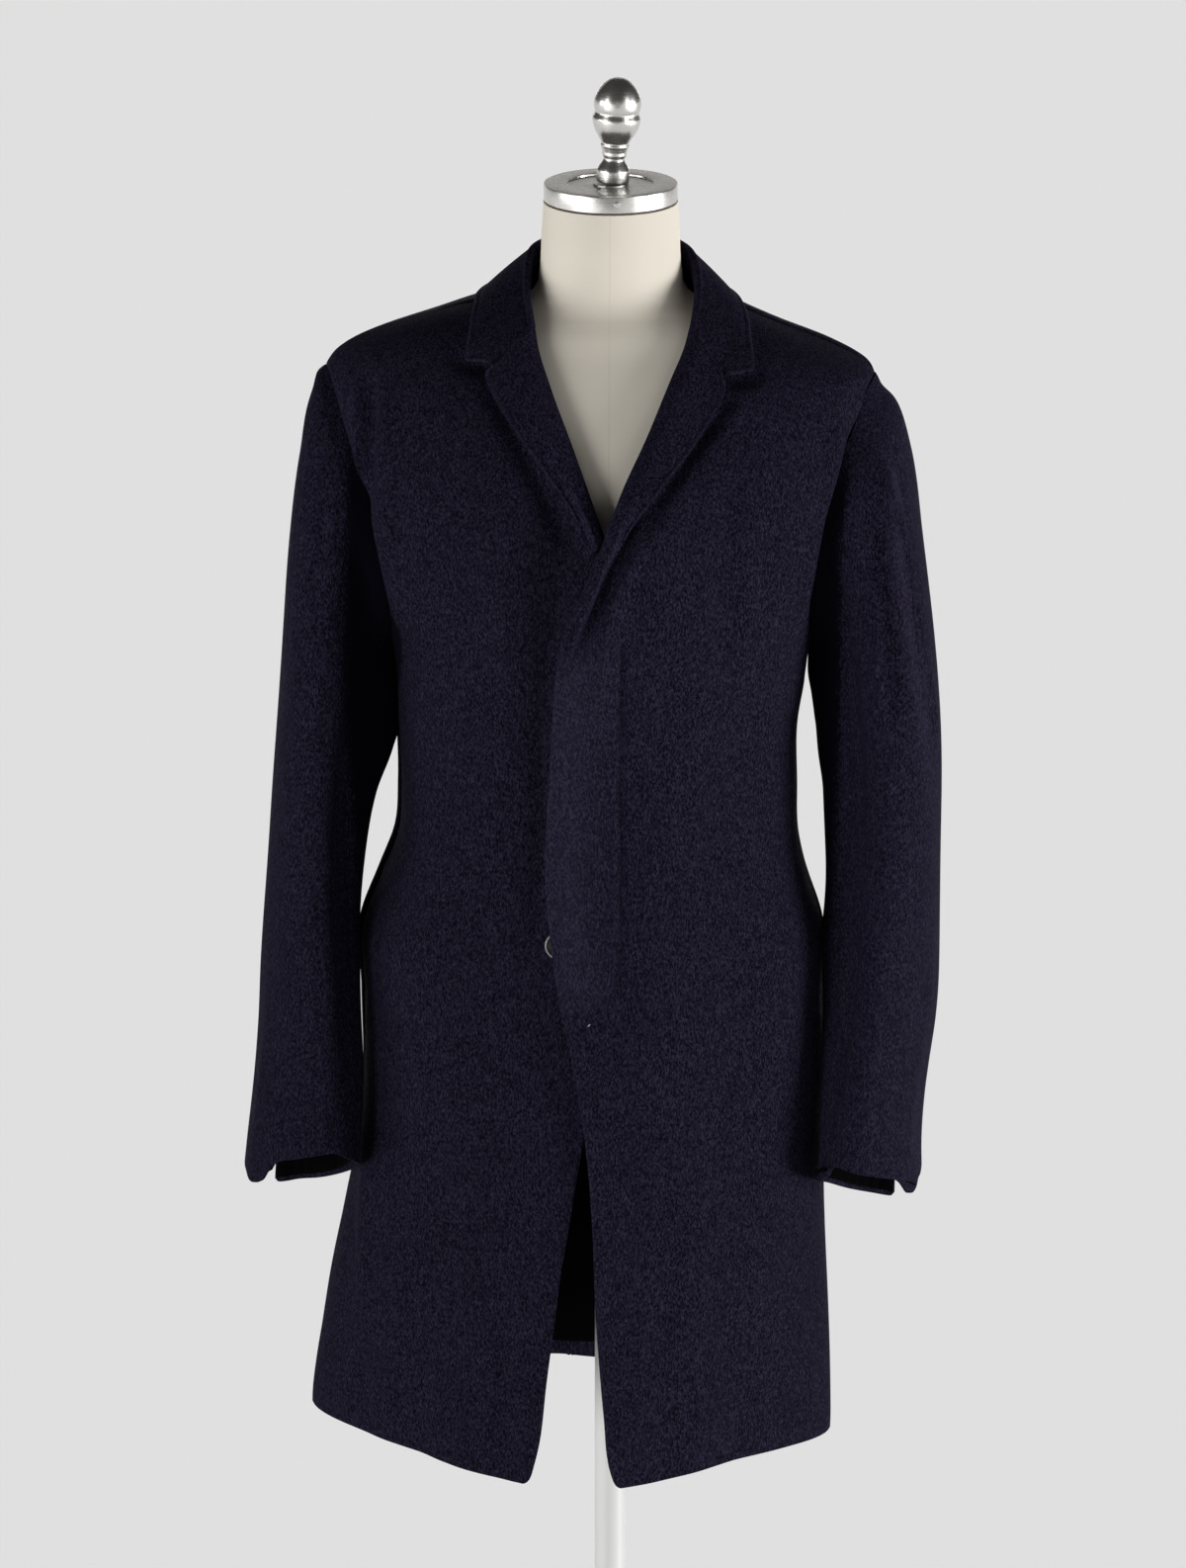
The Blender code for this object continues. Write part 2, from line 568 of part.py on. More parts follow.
NOTCH_SHARE = 0.60           # where the collar seam leaves its bottom edge
NOTCH_DROP = {-1: 0.0118, 1: 0.0165}
NOTCH_IN = {-1: 0.13, 1: 0.36}                   # how much of the same it moves towards the middle
COLLAR_REST = 0.0054
COLLAR_TURN = 0.0034         # half the thickness of the folded collar
FALL, ROUND = 0.585, 0.885     # shares of the cross-section: up the fall, over the fold, down inside
UP = np.array([0.0, 0.0, 1.0])
CHEST_SLOPE = 0.55
COLLAR_START = (0.010, 0.045)                    # where its end begins: outside, and inside the fold


def collar_half(side, way, across):
    """across: 0 on the collar's outer edge, 1 at its hidden end inside the fold."""
    fold_x, fold_y, fold_z, turn, height, drop = COLLAR_AT[side](way)
    fold = stack(side * fold_x, fold_y, fold_z) - UP * COLLAR_TURN
    outward = unit(stack(side * fold_x, fold_y - 0.004, 0.0 * fold_x)) * COLLAR_TURN
    edge_turn = side * np.radians(turn)
    edge = body_point(edge_turn, height) + body_normal(edge_turn, height) * COLLAR_REST
    share = np.clip(across / FALL, 0, 1)[..., None]
    crown = 0.0012 * np.sin(pi * share) * UP
    fall = edge + (fold + outward - edge) * share + crown
    over = pi * np.clip((across - FALL) / (ROUND - FALL), 0, 1)[..., None]
    arc = fold + outward * np.cos(over) + UP * COLLAR_TURN * np.sin(over)
    down = np.clip((across - ROUND) / (1 - ROUND), 0, 1)[..., None]
    inside = fold - outward - UP * (drop - COLLAR_TURN)[..., None] * down
    low, high = (across < FALL)[..., None], (across > ROUND)[..., None]
    place = np.where(low, fall, np.where(high, inside, arc))
    corner = 1 - share[..., 0]
    tent = np.clip(np.minimum(corner / NOTCH_SHARE, (1 - corner) / (1 - NOTCH_SHARE)), 0, 1)
    dip = NOTCH_DROP[side] * tent * (1 - smooth(way, 0.0, 0.16)) * low[..., 0]
    return place - np.array([side * NOTCH_IN[side], CHEST_SLOPE, 1.0]) * dip[..., None]


def both_halves(half, u, v):
    """u runs from the wearer's right lapel round the neck to the left one."""
    start = COLLAR_START[0] + (COLLAR_START[1] - COLLAR_START[0]) * smooth(v, 0.50, 0.85)
    way = start + (1 - start) * (1 - np.abs(2 * u - 1))
    left = half(1, way, v)
    right = half(-1, way, v)
    return np.where((u < 0.5)[..., None], right, left)


def collar_point(u, v):
    return both_halves(collar_half, u, v)


STAND_GAP = 0.0012           # below the collar's hidden end
STAND_INSET = 0.0062         # of its foot, from the neck seam


def stand_half(side, way, rise):
    """rise: 0 at the neck seam, 1 under the collar's fold."""
    top = collar_half(side, way, np.ones_like(way)) - UP * STAND_GAP
    front = np.clip(way / 0.42, 0, 1)
    back = np.clip((way - 0.42) / 0.58, 0, 1)
    first = turn_of_x(side * (ROLL_LINE[side][-1].x * side + 0.009), GORGE)
    turn = first + (side * pi / 2 - first) * front + side * pi / 2 * back
    height = GORGE + (NECK_POINT - GORGE) * front + (BACK_NECK - NECK_POINT) * back
    seam = body_point(turn, height)
    seat = seam - unit(seam * np.array([1.0, 1.0, 0.0])) * STAND_INSET - UP * 0.0012
    return seat + (top - seat) * rise[..., None]




def stand_point(u, v):
    return both_halves(stand_half, u, v)


def stand_place(u, v):
    return stand_point(0.06 + 0.88 * u, v)


def stand_normal(u, v):
    """Level, towards the neck, as at the hidden end of the collar above."""
    return unit(np.array([0.0, 0.004, 0.0]) - stand_place(u, v) * np.array([1.0, 1.0, 0.0]))


def make_collar():
    cloth("collar", collar_point, lambda u, v: normal_of(collar_point, u, v, 2e-3, -1.0),
          24, 9, PRESSED, NAVY)
    cloth("collar_stand", stand_place, stand_normal, 22, 2, PRESSED, NAVY)


# ---- the fly: a strip with the buttonholes behind the left front, and the buttons on the right one ----
FLY_TOP, FLY_BOTTOM = 1.250, 0.915
FLY_STITCH_X = 0.0075
FLY_INSET = 0.007
FLY_DEPTH = 0.0074           # of the strip's outer face below the left front's
BUTTON_DEPTH = 0.0037
LOWEST_BUTTON = (-0.0410, 0.9590)
HIDDEN_BUTTON_X = -0.0200
BUTTON_PITCH = 0.0770
BUTTONS = 4


def fly_place(u, v):
    height = FLY_BOTTOM + (FLY_TOP - FLY_BOTTOM) * v
    edge = LEFT_EDGE_AT(height)[0] + FLY_INSET
    return turn_of_x(edge + (FLY_STITCH_X - edge) * u, height), height


def make_fly():
    def outside(u, v):
        turn, height = fly_place(u, v)
        return front_point(1, turn, height, -FLY_DEPTH)

    cloth("fly_strip", outside, lambda u, v: body_normal(*fly_place(u, v)), 3, 10, FLY_STRIP, NAVY)


def make_button(number):
    x, height = LOWEST_BUTTON
    if number:
        x = HIDDEN_BUTTON_X
        height += BUTTON_PITCH * number
    turn = turn_of_x(np.array(x), np.array(height))
    middle = Vector(front_point(1, turn, np.array(height), -BUTTON_DEPTH - BUTTON_THICK))
    facing = Vector(body_normal(turn, np.array(height))).to_track_quat("Z", "Y").to_matrix().to_4x4()
    bm = bmesh.new()
    bmesh.ops.create_cone(bm, cap_ends=True, segments=24, radius1=BUTTON_RADIUS, radius2=BUTTON_RADIUS,
                          depth=BUTTON_THICK, matrix=Matrix.Translation((0, 0, BUTTON_THICK / 2)))
    rims = [edge for edge in bm.edges if len({round(v.co.z, 5) for v in edge.verts}) == 1]
    bmesh.ops.bevel(bm, geom=rims, offset=0.0007, offset_type="OFFSET", affect="EDGES",
                    segments=1, profile=0.5, material=-1)
    bmesh.ops.transform(bm, matrix=Matrix.Translation(middle) @ facing, verts=bm.verts[:])
    keep_mesh(f"button_{number + 1}", bm, HORN)


# ---- linings, only where they show ------------------------------------------------------------------
LINING_GAP = 0.0018
LINING_HEM, LINING_TOP = 0.014, 0.800
CUFF_LINING = (0.90, 0.985)
CUFF_GAP = 0.0026


def make_back_lining():
    def place(u, v):
        turn = radians(102) + radians(156) * u
        low = hem_height(turn) + LINING_HEM
        return turn, low + (LINING_TOP - low) * v

    def outside(u, v):
        return body_point(*place(u, v)) - body_normal(*place(u, v)) * (WOOL + LINING_GAP)

    cloth("lining_back", outside, lambda u, v: body_normal(*place(u, v)), 16, 6, LINING, BLACK_LINING)


def make_cuff_lining(word):
    side = SIDES[word]

    def place(u, v):
        way = CUFF_LINING[0] + (CUFF_LINING[1] - CUFF_LINING[0]) * v
        start = seam_angle(HIND_SEAM, way) + vent(way) + 0.05
        return way, start + (2 * pi - 2 * vent(way) - 0.10) * u

    def outside(u, v):
        return sleeve_point(side, *place(u, v)) - sleeve_normal(side, *place(u, v)) * (WOOL + CUFF_GAP)

    cloth(f"cuff_lining_{word}", outside, lambda u, v: sleeve_normal(side, *place(u, v)),
          18, 2, LINING, BLACK_LINING)


# ---- the dress form and its stand ------------------------------------------------------------------
Form = namedtuple("Form", "height half_width front back square")
FORM = [
    Form(0.8000, 0.1180, 0.0840, 0.0860, 2.2),
    Form(0.8060, 0.1300, 0.0940, 0.0960, 2.2),
    Form(0.8250, 0.1420, 0.1040, 0.1080, 2.2),
    Form(0.9000, 0.1500, 0.1120, 0.1180, 2.2),
    Form(0.9800, 0.1420, 0.1090, 0.1060, 2.2),
    Form(1.0600, 0.1340, 0.1060, 0.0960, 2.2),
    Form(1.1400, 0.1380, 0.1100, 0.1020, 2.2),
    Form(1.2200, 0.1500, 0.1170, 0.1120, 2.2),
    Form(1.3000, 0.1640, 0.1130, 0.1160, 2.2),
    Form(1.3600, 0.1740, 0.0980, 0.1080, 2.2),
    Form(1.4000, 0.1700, 0.0800, 0.0950, 2.2),
    Form(1.4200, 0.1480, 0.0690, 0.0850, 2.1),
    Form(1.4360, 0.1150, 0.0610, 0.0770, 2.0),
    Form(1.4480, 0.0780, 0.0520, 0.0650, 2.0),
    Form(1.4600, 0.0615, 0.0500, 0.0585, 2.0),
    Form(1.4780, 0.0566, 0.0505, 0.0560, 2.0),
    Form(1.5030, 0.0549, 0.0530, 0.0545, 2.0),
    Form(1.5310, 0.0534, 0.0534, 0.0534, 2.0),
]
FORM_SIDES = 32
FORM_SHIFT = -0.004          # the chest sits a little to the wearer's right of the neck
CAP_TILT = radians(3.2)      # the neck cap leans forward
CAP_TOP, CAP_THICK, CAP_RADIUS = 1.5458, 0.0135, 0.0531
JOINT_GAP = 0.0004


def make_form():
    form_at = Curve(FORM)
    bm = bmesh.new()
    first = bmesh.ops.create_circle(bm, cap_ends=True, segments=FORM_SIDES, radius=1.0)["verts"]
    ring, rings = first, []
    heights = [row.height for row in FORM]
    between = [(a + b) / 2 for a, b in zip(heights, heights[1:]) if b - a > 0.05]
    for height in sorted(heights + between):
        rings.append((ring, height))
        edges = [edge for edge in bm.edges if all(vert in ring for vert in edge.verts)]
        if height < heights[-1]:
            grown = bmesh.ops.extrude_edge_only(bm, edges=edges)["geom"]
            ring = [item for item in grown if isinstance(item, bmesh.types.BMVert)]
        else:
            bmesh.ops.contextual_create(bm, geom=edges)
    for ring, height in rings:
        half_width, front, back, square = [float(value) for value in form_at(height)]
        lean = float(smooth(height, 1.46, 1.53))
        for vert in ring:
            x, y = vert.co.x, vert.co.y
            across = abs(x) ** (2 / square) * (1 if x > 0 else -1)
            along = abs(y) ** (2 / square) * (1 if y > 0 else -1)
            place_y = along * (back if along > 0 else front)
            shift = FORM_SHIFT * (1 - float(smooth(height, 1.36, 1.45)))
            vert.co = (shift + across * half_width, place_y, height + lean * place_y * np.tan(CAP_TILT))
    keep_mesh("dress_form", bm, CANVAS, 50)


def turned(name, profile, base, tilt, finish, steps=32):
    """A solid of revolution from (height, radius) rows, its foot at base, tilted by a rotation."""
    bm = bmesh.new()
    verts = [bm.verts.new((radius, 0, height)) for height, radius in profile]
    edges = [bm.edges.new(pair) for pair in zip(verts, verts[1:])]
    bmesh.ops.spin(bm, geom=verts + edges, cent=(0, 0, 0), axis=(0, 0, 1), angle=2 * pi,
                   steps=steps, use_merge=True)
    bmesh.ops.remove_doubles(bm, verts=bm.verts[:], dist=1e-6)
    rims = [edge for edge in bm.edges if edge.is_boundary]
    bmesh.ops.holes_fill(bm, edges=rims, sides=0)
    bmesh.ops.transform(bm, matrix=Matrix.Translation(base) @ tilt, verts=bm.verts[:])
    keep_mesh(name, bm, finish, 40)


KNOB = [  # height above the cap, radius
    (0.0003, 0.0128), (0.0022, 0.0132), (0.0087, 0.0130), (0.0106, 0.0127), (0.0121, 0.0120),
    (0.0144, 0.0106), (0.0168, 0.0091), (0.0190, 0.0084), (0.0207, 0.0089), (0.0219, 0.0098),
    (0.0242, 0.0099), (0.0267, 0.0105), (0.0284, 0.0110), (0.0299, 0.0115), (0.0313, 0.0110),
    (0.0333, 0.0119), (0.0365, 0.0137), (0.0415, 0.0167), (0.0464, 0.0184), (0.0504, 0.0192),
    (0.0529, 0.0188), (0.0554, 0.0178), (0.0570, 0.0175), (0.0595, 0.0184), (0.0635, 0.0187),
    (0.0677, 0.0181), (0.0726, 0.0161), (0.0775, 0.0129), (0.0808, 0.0093), (0.0827, 0.0061),
    (0.0837, 0.0025),
]
KNOB_LEAN = radians(3.5)
POLE_RADIUS = 0.0125
BASE_RADIUS, BASE_THICK, BASE_CHAMFER = 0.190, 0.012, 0.003


def make_stand():
    forward = Matrix.Rotation(CAP_TILT, 4, "X")
    centre = Vector((0, 0, CAP_TOP - CAP_THICK))
    turned("neck_cap", [(0.0, CAP_RADIUS), (CAP_THICK - 0.001, CAP_RADIUS),
                        (CAP_THICK, CAP_RADIUS - 0.001)], centre, forward, ALUMINIUM, 48)
    foot = Vector((0.0015, 0, CAP_TOP))
    lean = forward @ Matrix.Rotation(KNOB_LEAN, 4, "Y")
    turned("knob", KNOB, foot + Vector((0, 0, 0.0007)), lean, ALUMINIUM, 20)
    upright = Matrix.Identity(4)
    turned("pole", [(0.0, POLE_RADIUS), (FORM[0].height - BASE_THICK - 2 * JOINT_GAP, POLE_RADIUS)],
           Vector((0, 0, BASE_THICK + JOINT_GAP)), upright, PAINTED, 24)
    turned("base", [(0.0, BASE_RADIUS), (BASE_THICK - BASE_CHAMFER, BASE_RADIUS),
                    (BASE_THICK, BASE_RADIUS - BASE_CHAMFER)], Vector((0, 0, 0)), upright, PAINTED, 48)


for word in SIDES:
    make_lapel(word)
    make_cuff_lining(word)
make_collar()
make_fly()
for number in range(BUTTONS):
    make_button(number)
make_back_lining()
make_form()
make_stand()
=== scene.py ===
"""How a wool overcoat on a limbless dress form looks.  Metres, +Z up; the front faces -Y, +X is the
wearer's left.  Each cloth piece is a fine grid laid on the surface of the solid it stands for, with
its creases, seams and rounded edges added."""

from collections import namedtuple
from math import cos, pi, radians, sin, tan

import bmesh
import bpy
import numpy as np
from mathutils import Matrix, Vector


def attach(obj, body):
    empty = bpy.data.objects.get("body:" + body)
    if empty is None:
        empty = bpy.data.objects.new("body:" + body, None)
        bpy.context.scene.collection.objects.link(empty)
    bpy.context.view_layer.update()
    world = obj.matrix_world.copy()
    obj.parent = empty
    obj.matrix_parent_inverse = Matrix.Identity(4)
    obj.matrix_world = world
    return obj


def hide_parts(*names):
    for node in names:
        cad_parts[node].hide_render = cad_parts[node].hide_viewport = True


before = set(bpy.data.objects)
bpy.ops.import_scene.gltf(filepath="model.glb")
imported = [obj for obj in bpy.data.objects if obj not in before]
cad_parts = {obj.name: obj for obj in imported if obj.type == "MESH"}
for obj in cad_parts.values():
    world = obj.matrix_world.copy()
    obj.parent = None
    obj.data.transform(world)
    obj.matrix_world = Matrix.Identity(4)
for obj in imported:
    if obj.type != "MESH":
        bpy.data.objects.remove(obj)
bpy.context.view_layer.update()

SIDES = {"left": 1, "right": -1}

# ---- camera -----------------------------------------------------------------------------------------
CAMERA_AT = (-0.014, -6.0, 2.551)
CAMERA_PITCH = radians(14)
SENSOR = 36.0
FOCAL_PX, FRAME_HEIGHT_PX = 7750, 1586

camera = bpy.data.cameras.new("camera")
camera.sensor_fit = "VERTICAL"
camera.sensor_height = SENSOR
camera.lens = SENSOR * FOCAL_PX / FRAME_HEIGHT_PX
camera.clip_end = 100
camera_object = bpy.data.objects.new("camera", camera)
camera_object.location = CAMERA_AT
camera_object.rotation_euler = (pi / 2 - CAMERA_PITCH, 0, 0)
bpy.context.scene.collection.objects.link(camera_object)
bpy.context.scene.camera = camera_object


# ---- finishes ---------------------------------------------------------------------------------------
class Signal:
    """A number's socket in a shader.  Sums written with it add Math nodes."""

    def __init__(self, finish, socket):
        self.finish, self.socket = finish, socket

    def __add__(self, other):
        return self.finish.math("ADD", self, other)

    def __sub__(self, other):
        return self.finish.math("SUBTRACT", self, other)

    def __rsub__(self, other):
        return self.finish.math("SUBTRACT", other, self)

    def __mul__(self, other):
        return self.finish.math("MULTIPLY", self, other)

    __radd__, __rmul__ = __add__, __mul__


class Finish:
    """A material, with one method for every kind of node."""

    def __init__(self, name, roughness, metallic=0.0, **steady):
        self.material = bpy.data.materials.new(name)
        self.material.use_nodes = True
        self.tree = self.material.node_tree
        self.shader = self.tree.nodes["Principled BSDF"]
        self.put(self.shader, "Roughness", roughness)
        self.put(self.shader, "Metallic", metallic)
        for socket, value in steady.items():
            self.put(self.shader, socket.replace("_", " "), value)
        self.place = self.node("ShaderNodeTexCoord").outputs["Object"]

    def put(self, node, socket, value):
        if isinstance(value, Signal):
            value = value.socket
        if isinstance(value, bpy.types.NodeSocket):
            self.tree.links.new(value, node.inputs[socket])
        else:
            node.inputs[socket].default_value = value

    def node(self, kind, settings=None, values=None):
        made = self.tree.nodes.new(kind)
        for name, value in (settings or {}).items():
            setattr(made, name, value)
        for socket, value in (values or {}).items():
            self.put(made, socket, value)
        return made

    def math(self, operation, *values):
        made = self.node("ShaderNodeMath", {"operation": operation}, dict(enumerate(values)))
        return Signal(self, made.outputs[0])

    def mapped(self, scale, at=(0, 0, 0), turn=(0, 0, 0)):
        values = {"Vector": self.place, "Location": at, "Rotation": turn, "Scale": scale}
        return self.node("ShaderNodeMapping", None, values).outputs["Vector"]

    def noise(self, size, stretch=(1, 1, 1), detail=2.0, rough=0.5, bend=0.0):
        """Noise whose blobs are about size across, longer where stretch is under 1."""
        values = {"Vector": self.mapped(stretch), "Scale": 1 / size, "Detail": detail,
                  "Roughness": rough, "Distortion": bend}
        return Signal(self, self.node("ShaderNodeTexNoise", None, values).outputs[0])

    def ramp(self, value, low, high, first=0.0, last=1.0):
        values = {"Value": value, "From Min": low, "From Max": high, "To Min": first, "To Max": last}
        made = self.node("ShaderNodeMapRange", {"interpolation_type": "SMOOTHSTEP"}, values)
        return Signal(self, made.outputs[0])

    def axis(self, name):
        made = self.node("ShaderNodeSeparateXYZ", None, {0: self.place})
        return Signal(self, made.outputs[name])

    def mix(self, share, first, last):
        """A colour between two colours or links."""
        colours = [(*c, 1.0) if isinstance(c, tuple) else c for c in (first, last)]
        made = self.node("ShaderNodeMix", {"data_type": "RGBA"}, {"Factor": share})
        self.put(made, 6, colours[0])
        self.put(made, 7, colours[1])
        return made.outputs[2]

    def colour(self, value):
        self.put(self.shader, "Base Color", (*value, 1.0) if isinstance(value, tuple) else value)

    def bump(self, height, depth, strength=1.0):
        """Relief: height from 0 to 1 stands for depth metres."""
        made = self.node("ShaderNodeBump", None,
                         {"Height": height, "Distance": depth, "Strength": strength})
        self.put(self.shader, "Normal", made.outputs[0])


NAP_DARK, NAP_LIGHT = (0.0026, 0.0022, 0.0052), (0.0318, 0.0272, 0.0550)


def wool(name):
    """Brushed melton: short fibres lying downwards over a felted ground.  The mesh's float attribute,
    read below, paints light into the colour where it is above 0 and paints shade where it is below 0."""
    finish = Finish(name, 0.95, Specular_IOR_Level=0.02, Sheen_Weight=0.010, Sheen_Roughness=0.5,
                    Sheen_Tint=(0.55, 0.52, 0.75, 1.0))
    tuft = finish.noise(0.0014, (1.0, 1.0, 0.50), 2.0, 0.60, 0.4)
    fibre = finish.noise(0.0009, (1.0, 1.0, 0.30), 1.0, 0.5, 0.3)
    clump = finish.noise(0.0042, (1.0, 1.0, 0.50), 2.0, 0.55, 0.3)
    cloud = finish.noise(0.045, (1.0, 1.0, 0.55), 2.0, 0.5)
    nap = 0.60 * tuft + 0.28 * fibre + 0.12 * clump
    # painted light and painted shade from the mesh's attribute make the colour paler or darker
    attribute = finish.node("ShaderNodeAttribute", {"attribute_name": "painted_light_and_shade"})
    painted_light_and_shade = Signal(finish, attribute.outputs["Fac"])
    share = 0.93 * finish.ramp(nap, 0.385, 0.715) + 0.08 * cloud - 0.03 + 0.24 * painted_light_and_shade
    finish.colour(finish.mix(share, NAP_DARK, NAP_LIGHT))
    finish.bump(nap, 0.0022, 0.8)
    return finish.material


def smooth_lining():
    finish = Finish("black_satin_lining", 0.75, Specular_IOR_Level=0.01)
    twill = finish.noise(0.0009, (1.0, 1.0, 0.3), 1.0)
    finish.colour(finish.mix(twill, (0.0008, 0.0008, 0.0011), (0.0018, 0.0018, 0.0023)))
    finish.bump(twill, 0.0002, 0.4)
    return finish.material


def canvas():
    """Cream cotton canvas, sized smooth, with a sewn seam down the middle of the front and back."""
    finish = Finish("cream_form_canvas", 0.82, Specular_IOR_Level=0.20)
    thread = 0.5 + 0.25 * finish.math("SINE", finish.axis("X") * 7400) \
        + 0.25 * finish.math("SINE", finish.axis("Z") * 7400)
    slub = finish.noise(0.0022, (1.0, 1.0, 1.0), 2.0)
    patch = finish.noise(0.06, (1.0, 1.0, 1.0), 2.0)
    off = finish.math("ABSOLUTE", finish.axis("X") + 0.0010)
    seam = finish.ramp(off, 0.0003, 0.0013, 1.0, 0.0)
    tone = finish.mix(0.35 * slub + 0.45 * patch, (0.775, 0.725, 0.630), (0.715, 0.655, 0.560))
    finish.colour(finish.mix(0.12 * seam, tone, (0.46, 0.40, 0.32)))
    finish.bump(0.20 * thread + 0.25 * slub + (1 - seam) * 0.35, 0.0003, 0.7)
    return finish.material


def turned_metal():
    """Aluminium with the fine rings a lathe leaves."""
    finish = Finish("turned_aluminium", 0.30, 1.0)
    ring = finish.noise(0.0010, (0.05, 0.05, 1.0), 2.0)
    smear = finish.noise(0.012, (1.0, 1.0, 1.0), 2.0)
    finish.colour(finish.mix(smear, (0.60, 0.585, 0.56), (0.70, 0.685, 0.66)))
    finish.put(finish.shader, "Roughness", 0.17 + 0.10 * ring + 0.10 * smear)
    finish.bump(ring, 0.0001, 0.4)
    return finish.material


def horn():
    finish = Finish("dark_horn_button", 0.28, Coat_Weight=0.4, Coat_Roughness=0.15)
    cloud = finish.noise(0.006, (1.0, 1.0, 0.4), 3.0, 0.6, 0.8)
    finish.colour(finish.mix(cloud, (0.006, 0.005, 0.007), (0.030, 0.026, 0.026)))
    return finish.material


# a painted highlight: a pale copy of the horn for the top of the lowest button's rim
def button_highlight():
    finish = Finish("button_rim_painted_highlight", 0.22, Coat_Weight=0.5, Coat_Roughness=0.10)
    cloud = finish.noise(0.004, (1.0, 1.0, 1.0), 2.0)
    finish.colour(finish.mix(cloud, (0.13, 0.125, 0.13), (0.24, 0.235, 0.235)))
    return finish.material


def painted_steel():
    finish = Finish("pale_painted_steel", 0.42, Specular_IOR_Level=0.4)
    peel = finish.noise(0.0016, (1.0, 1.0, 1.0), 2.0)
    patch = finish.noise(0.08, (1.0, 1.0, 1.0), 2.0)
    finish.colour(finish.mix(patch, (0.66, 0.66, 0.65), (0.72, 0.72, 0.71)))
    finish.put(finish.shader, "Roughness", 0.38 + 0.12 * peel)
    finish.bump(peel, 0.0002, 0.3)
    return finish.material


def sewing_thread(name, colour):
    finish = Finish(name, 0.65, Specular_IOR_Level=0.3)
    ply = finish.noise(0.0005, (1.0, 1.0, 1.0), 1.0)
    finish.colour(finish.mix(ply, tuple(0.7 * c for c in colour), colour))
    finish.bump(ply, 0.0002, 0.6)
    return finish.material


NAVY = wool("navy_wool")
LINING_CLOTH = smooth_lining()
CANVAS = canvas()
ALUMINIUM = turned_metal()
HORN = horn()
BUTTON_HIGHLIGHT = button_highlight()
PAINTED = painted_steel()
NAVY_THREAD = sewing_thread("navy_thread", (0.007, 0.006, 0.013))
WHITE_THREAD = sewing_thread("white_thread", (0.80, 0.79, 0.76))


# ---- cloth ------------------------------------------------------------------------------------------
WOOL = 0.0026               # brushed melton, one layer
PRESSED = 0.0021            # the same where it is pressed into a fold: lapels and collar
LINING = 0.0012
ROUND_OFF, THIN_ROUND_OFF = 0.0009, 0.0005   # of the edges of wool, and of lining
FRONT_LIFT = 0.0110         # how far the left front stands over the right one along the fly
LOW_LIFT = 0.0035           # the same below the last button, where the fronts swing apart
LIFT_HEIGHTS = (0.74, 0.90)                  # where the low one grows into the other
ROLL_LIFT = 0.0065          # how much more where its lapel begins to turn over
ROLL_LIFT_AT, ROLL_LIFT_SPREAD = 1.235, 0.055
LIFT_END_X, LIFT_TOP = (0.030, 0.100), (1.290, 1.385)      # where the left front has come down again

# ---- landmarks of the coat (heights above the floor) ------------------------------------------------
HEM_RIGHT, HEM_LEFT = 0.5330, 0.5100        # at the side seams
HEM_FRONT_RIGHT, HEM_FRONT_LEFT = 0.5125, 0.5105
HEM_BACK = 0.517
HEM_RISE = 0.009                            # how much higher it hangs between front and side
ARMPIT = 1.187
SHOULDER_POINT = {-1: 1.400, 1: 1.392}
NECK_POINT = 1.4585
BACK_NECK = 1.470
V_BOTTOM = 1.284
V_BLEND = (V_BOTTOM - 0.012, V_BOTTOM + 0.022)      # a front's edge turns into its lapel's roll here
GORGE = 1.441                # where collar and lapel meet on the roll line

Section = namedtuple("Section", "height centre half_width skew front back square")
BODY = [  # the coat's outer surface, from the hem to the neck; skew widens +X and narrows -X
    Section(0.480, -0.0335, 0.2160, 0.0000, 0.1700, 0.1680, 1.60),
    Section(0.545, -0.0320, 0.2125, 0.0000, 0.1660, 0.1640, 1.70),
    Section(0.630, -0.0270, 0.2045, 0.0000, 0.1590, 0.1570, 1.90),
    Section(0.716, -0.0200, 0.1950, 0.0000, 0.1530, 0.1500, 2.15),
    Section(0.800, -0.0140, 0.1880, 0.0000, 0.1490, 0.1460, 2.30),
    Section(0.884, -0.0140, 0.1865, 0.0000, 0.1460, 0.1430, 2.30),
    Section(0.945, -0.0145, 0.1860, 0.0000, 0.1420, 0.1380, 2.30),
    Section(0.985, -0.0130, 0.1725, 0.0000, 0.1390, 0.1330, 2.35),
    Section(1.020, -0.0105, 0.1615, 0.0000, 0.1360, 0.1280, 2.35),
    Section(1.060, -0.0100, 0.1590, 0.0000, 0.1340, 0.1240, 2.35),
    Section(1.110, -0.0110, 0.1595, 0.0000, 0.1340, 0.1250, 2.35),
    Section(1.150, -0.0080, 0.1640, 0.0000, 0.1350, 0.1280, 2.40),
    Section(1.187, -0.0070, 0.1700, 0.0000, 0.1360, 0.1300, 2.40),
    Section(1.245, -0.0090, 0.1890, 0.0000, 0.1350, 0.1320, 2.40),
    Section(1.290, -0.0100, 0.1995, 0.0000, 0.1310, 0.1310, 2.40),
    Section(1.340, -0.0080, 0.2120, -0.0010, 0.1160, 0.1260, 2.40),
    Section(1.380, -0.0065, 0.2165, -0.0020, 0.0990, 0.1180, 2.40),
    Section(1.400, -0.0060, 0.2125, -0.0040, 0.0880, 0.1110, 2.35),
    Section(1.415, -0.0050, 0.1930, -0.0120, 0.0790, 0.1030, 2.30),
    Section(1.430, -0.0040, 0.1600, -0.0150, 0.0700, 0.0950, 2.20),
    Section(1.445, -0.0030, 0.1210, -0.0090, 0.0610, 0.0870, 2.10),
    Section(1.4585, -0.0010, 0.0845, -0.0015, 0.0530, 0.0790, 2.00),
    Section(1.472, 0.0000, 0.0710, 0.0000, 0.0480, 0.0740, 2.00),
]

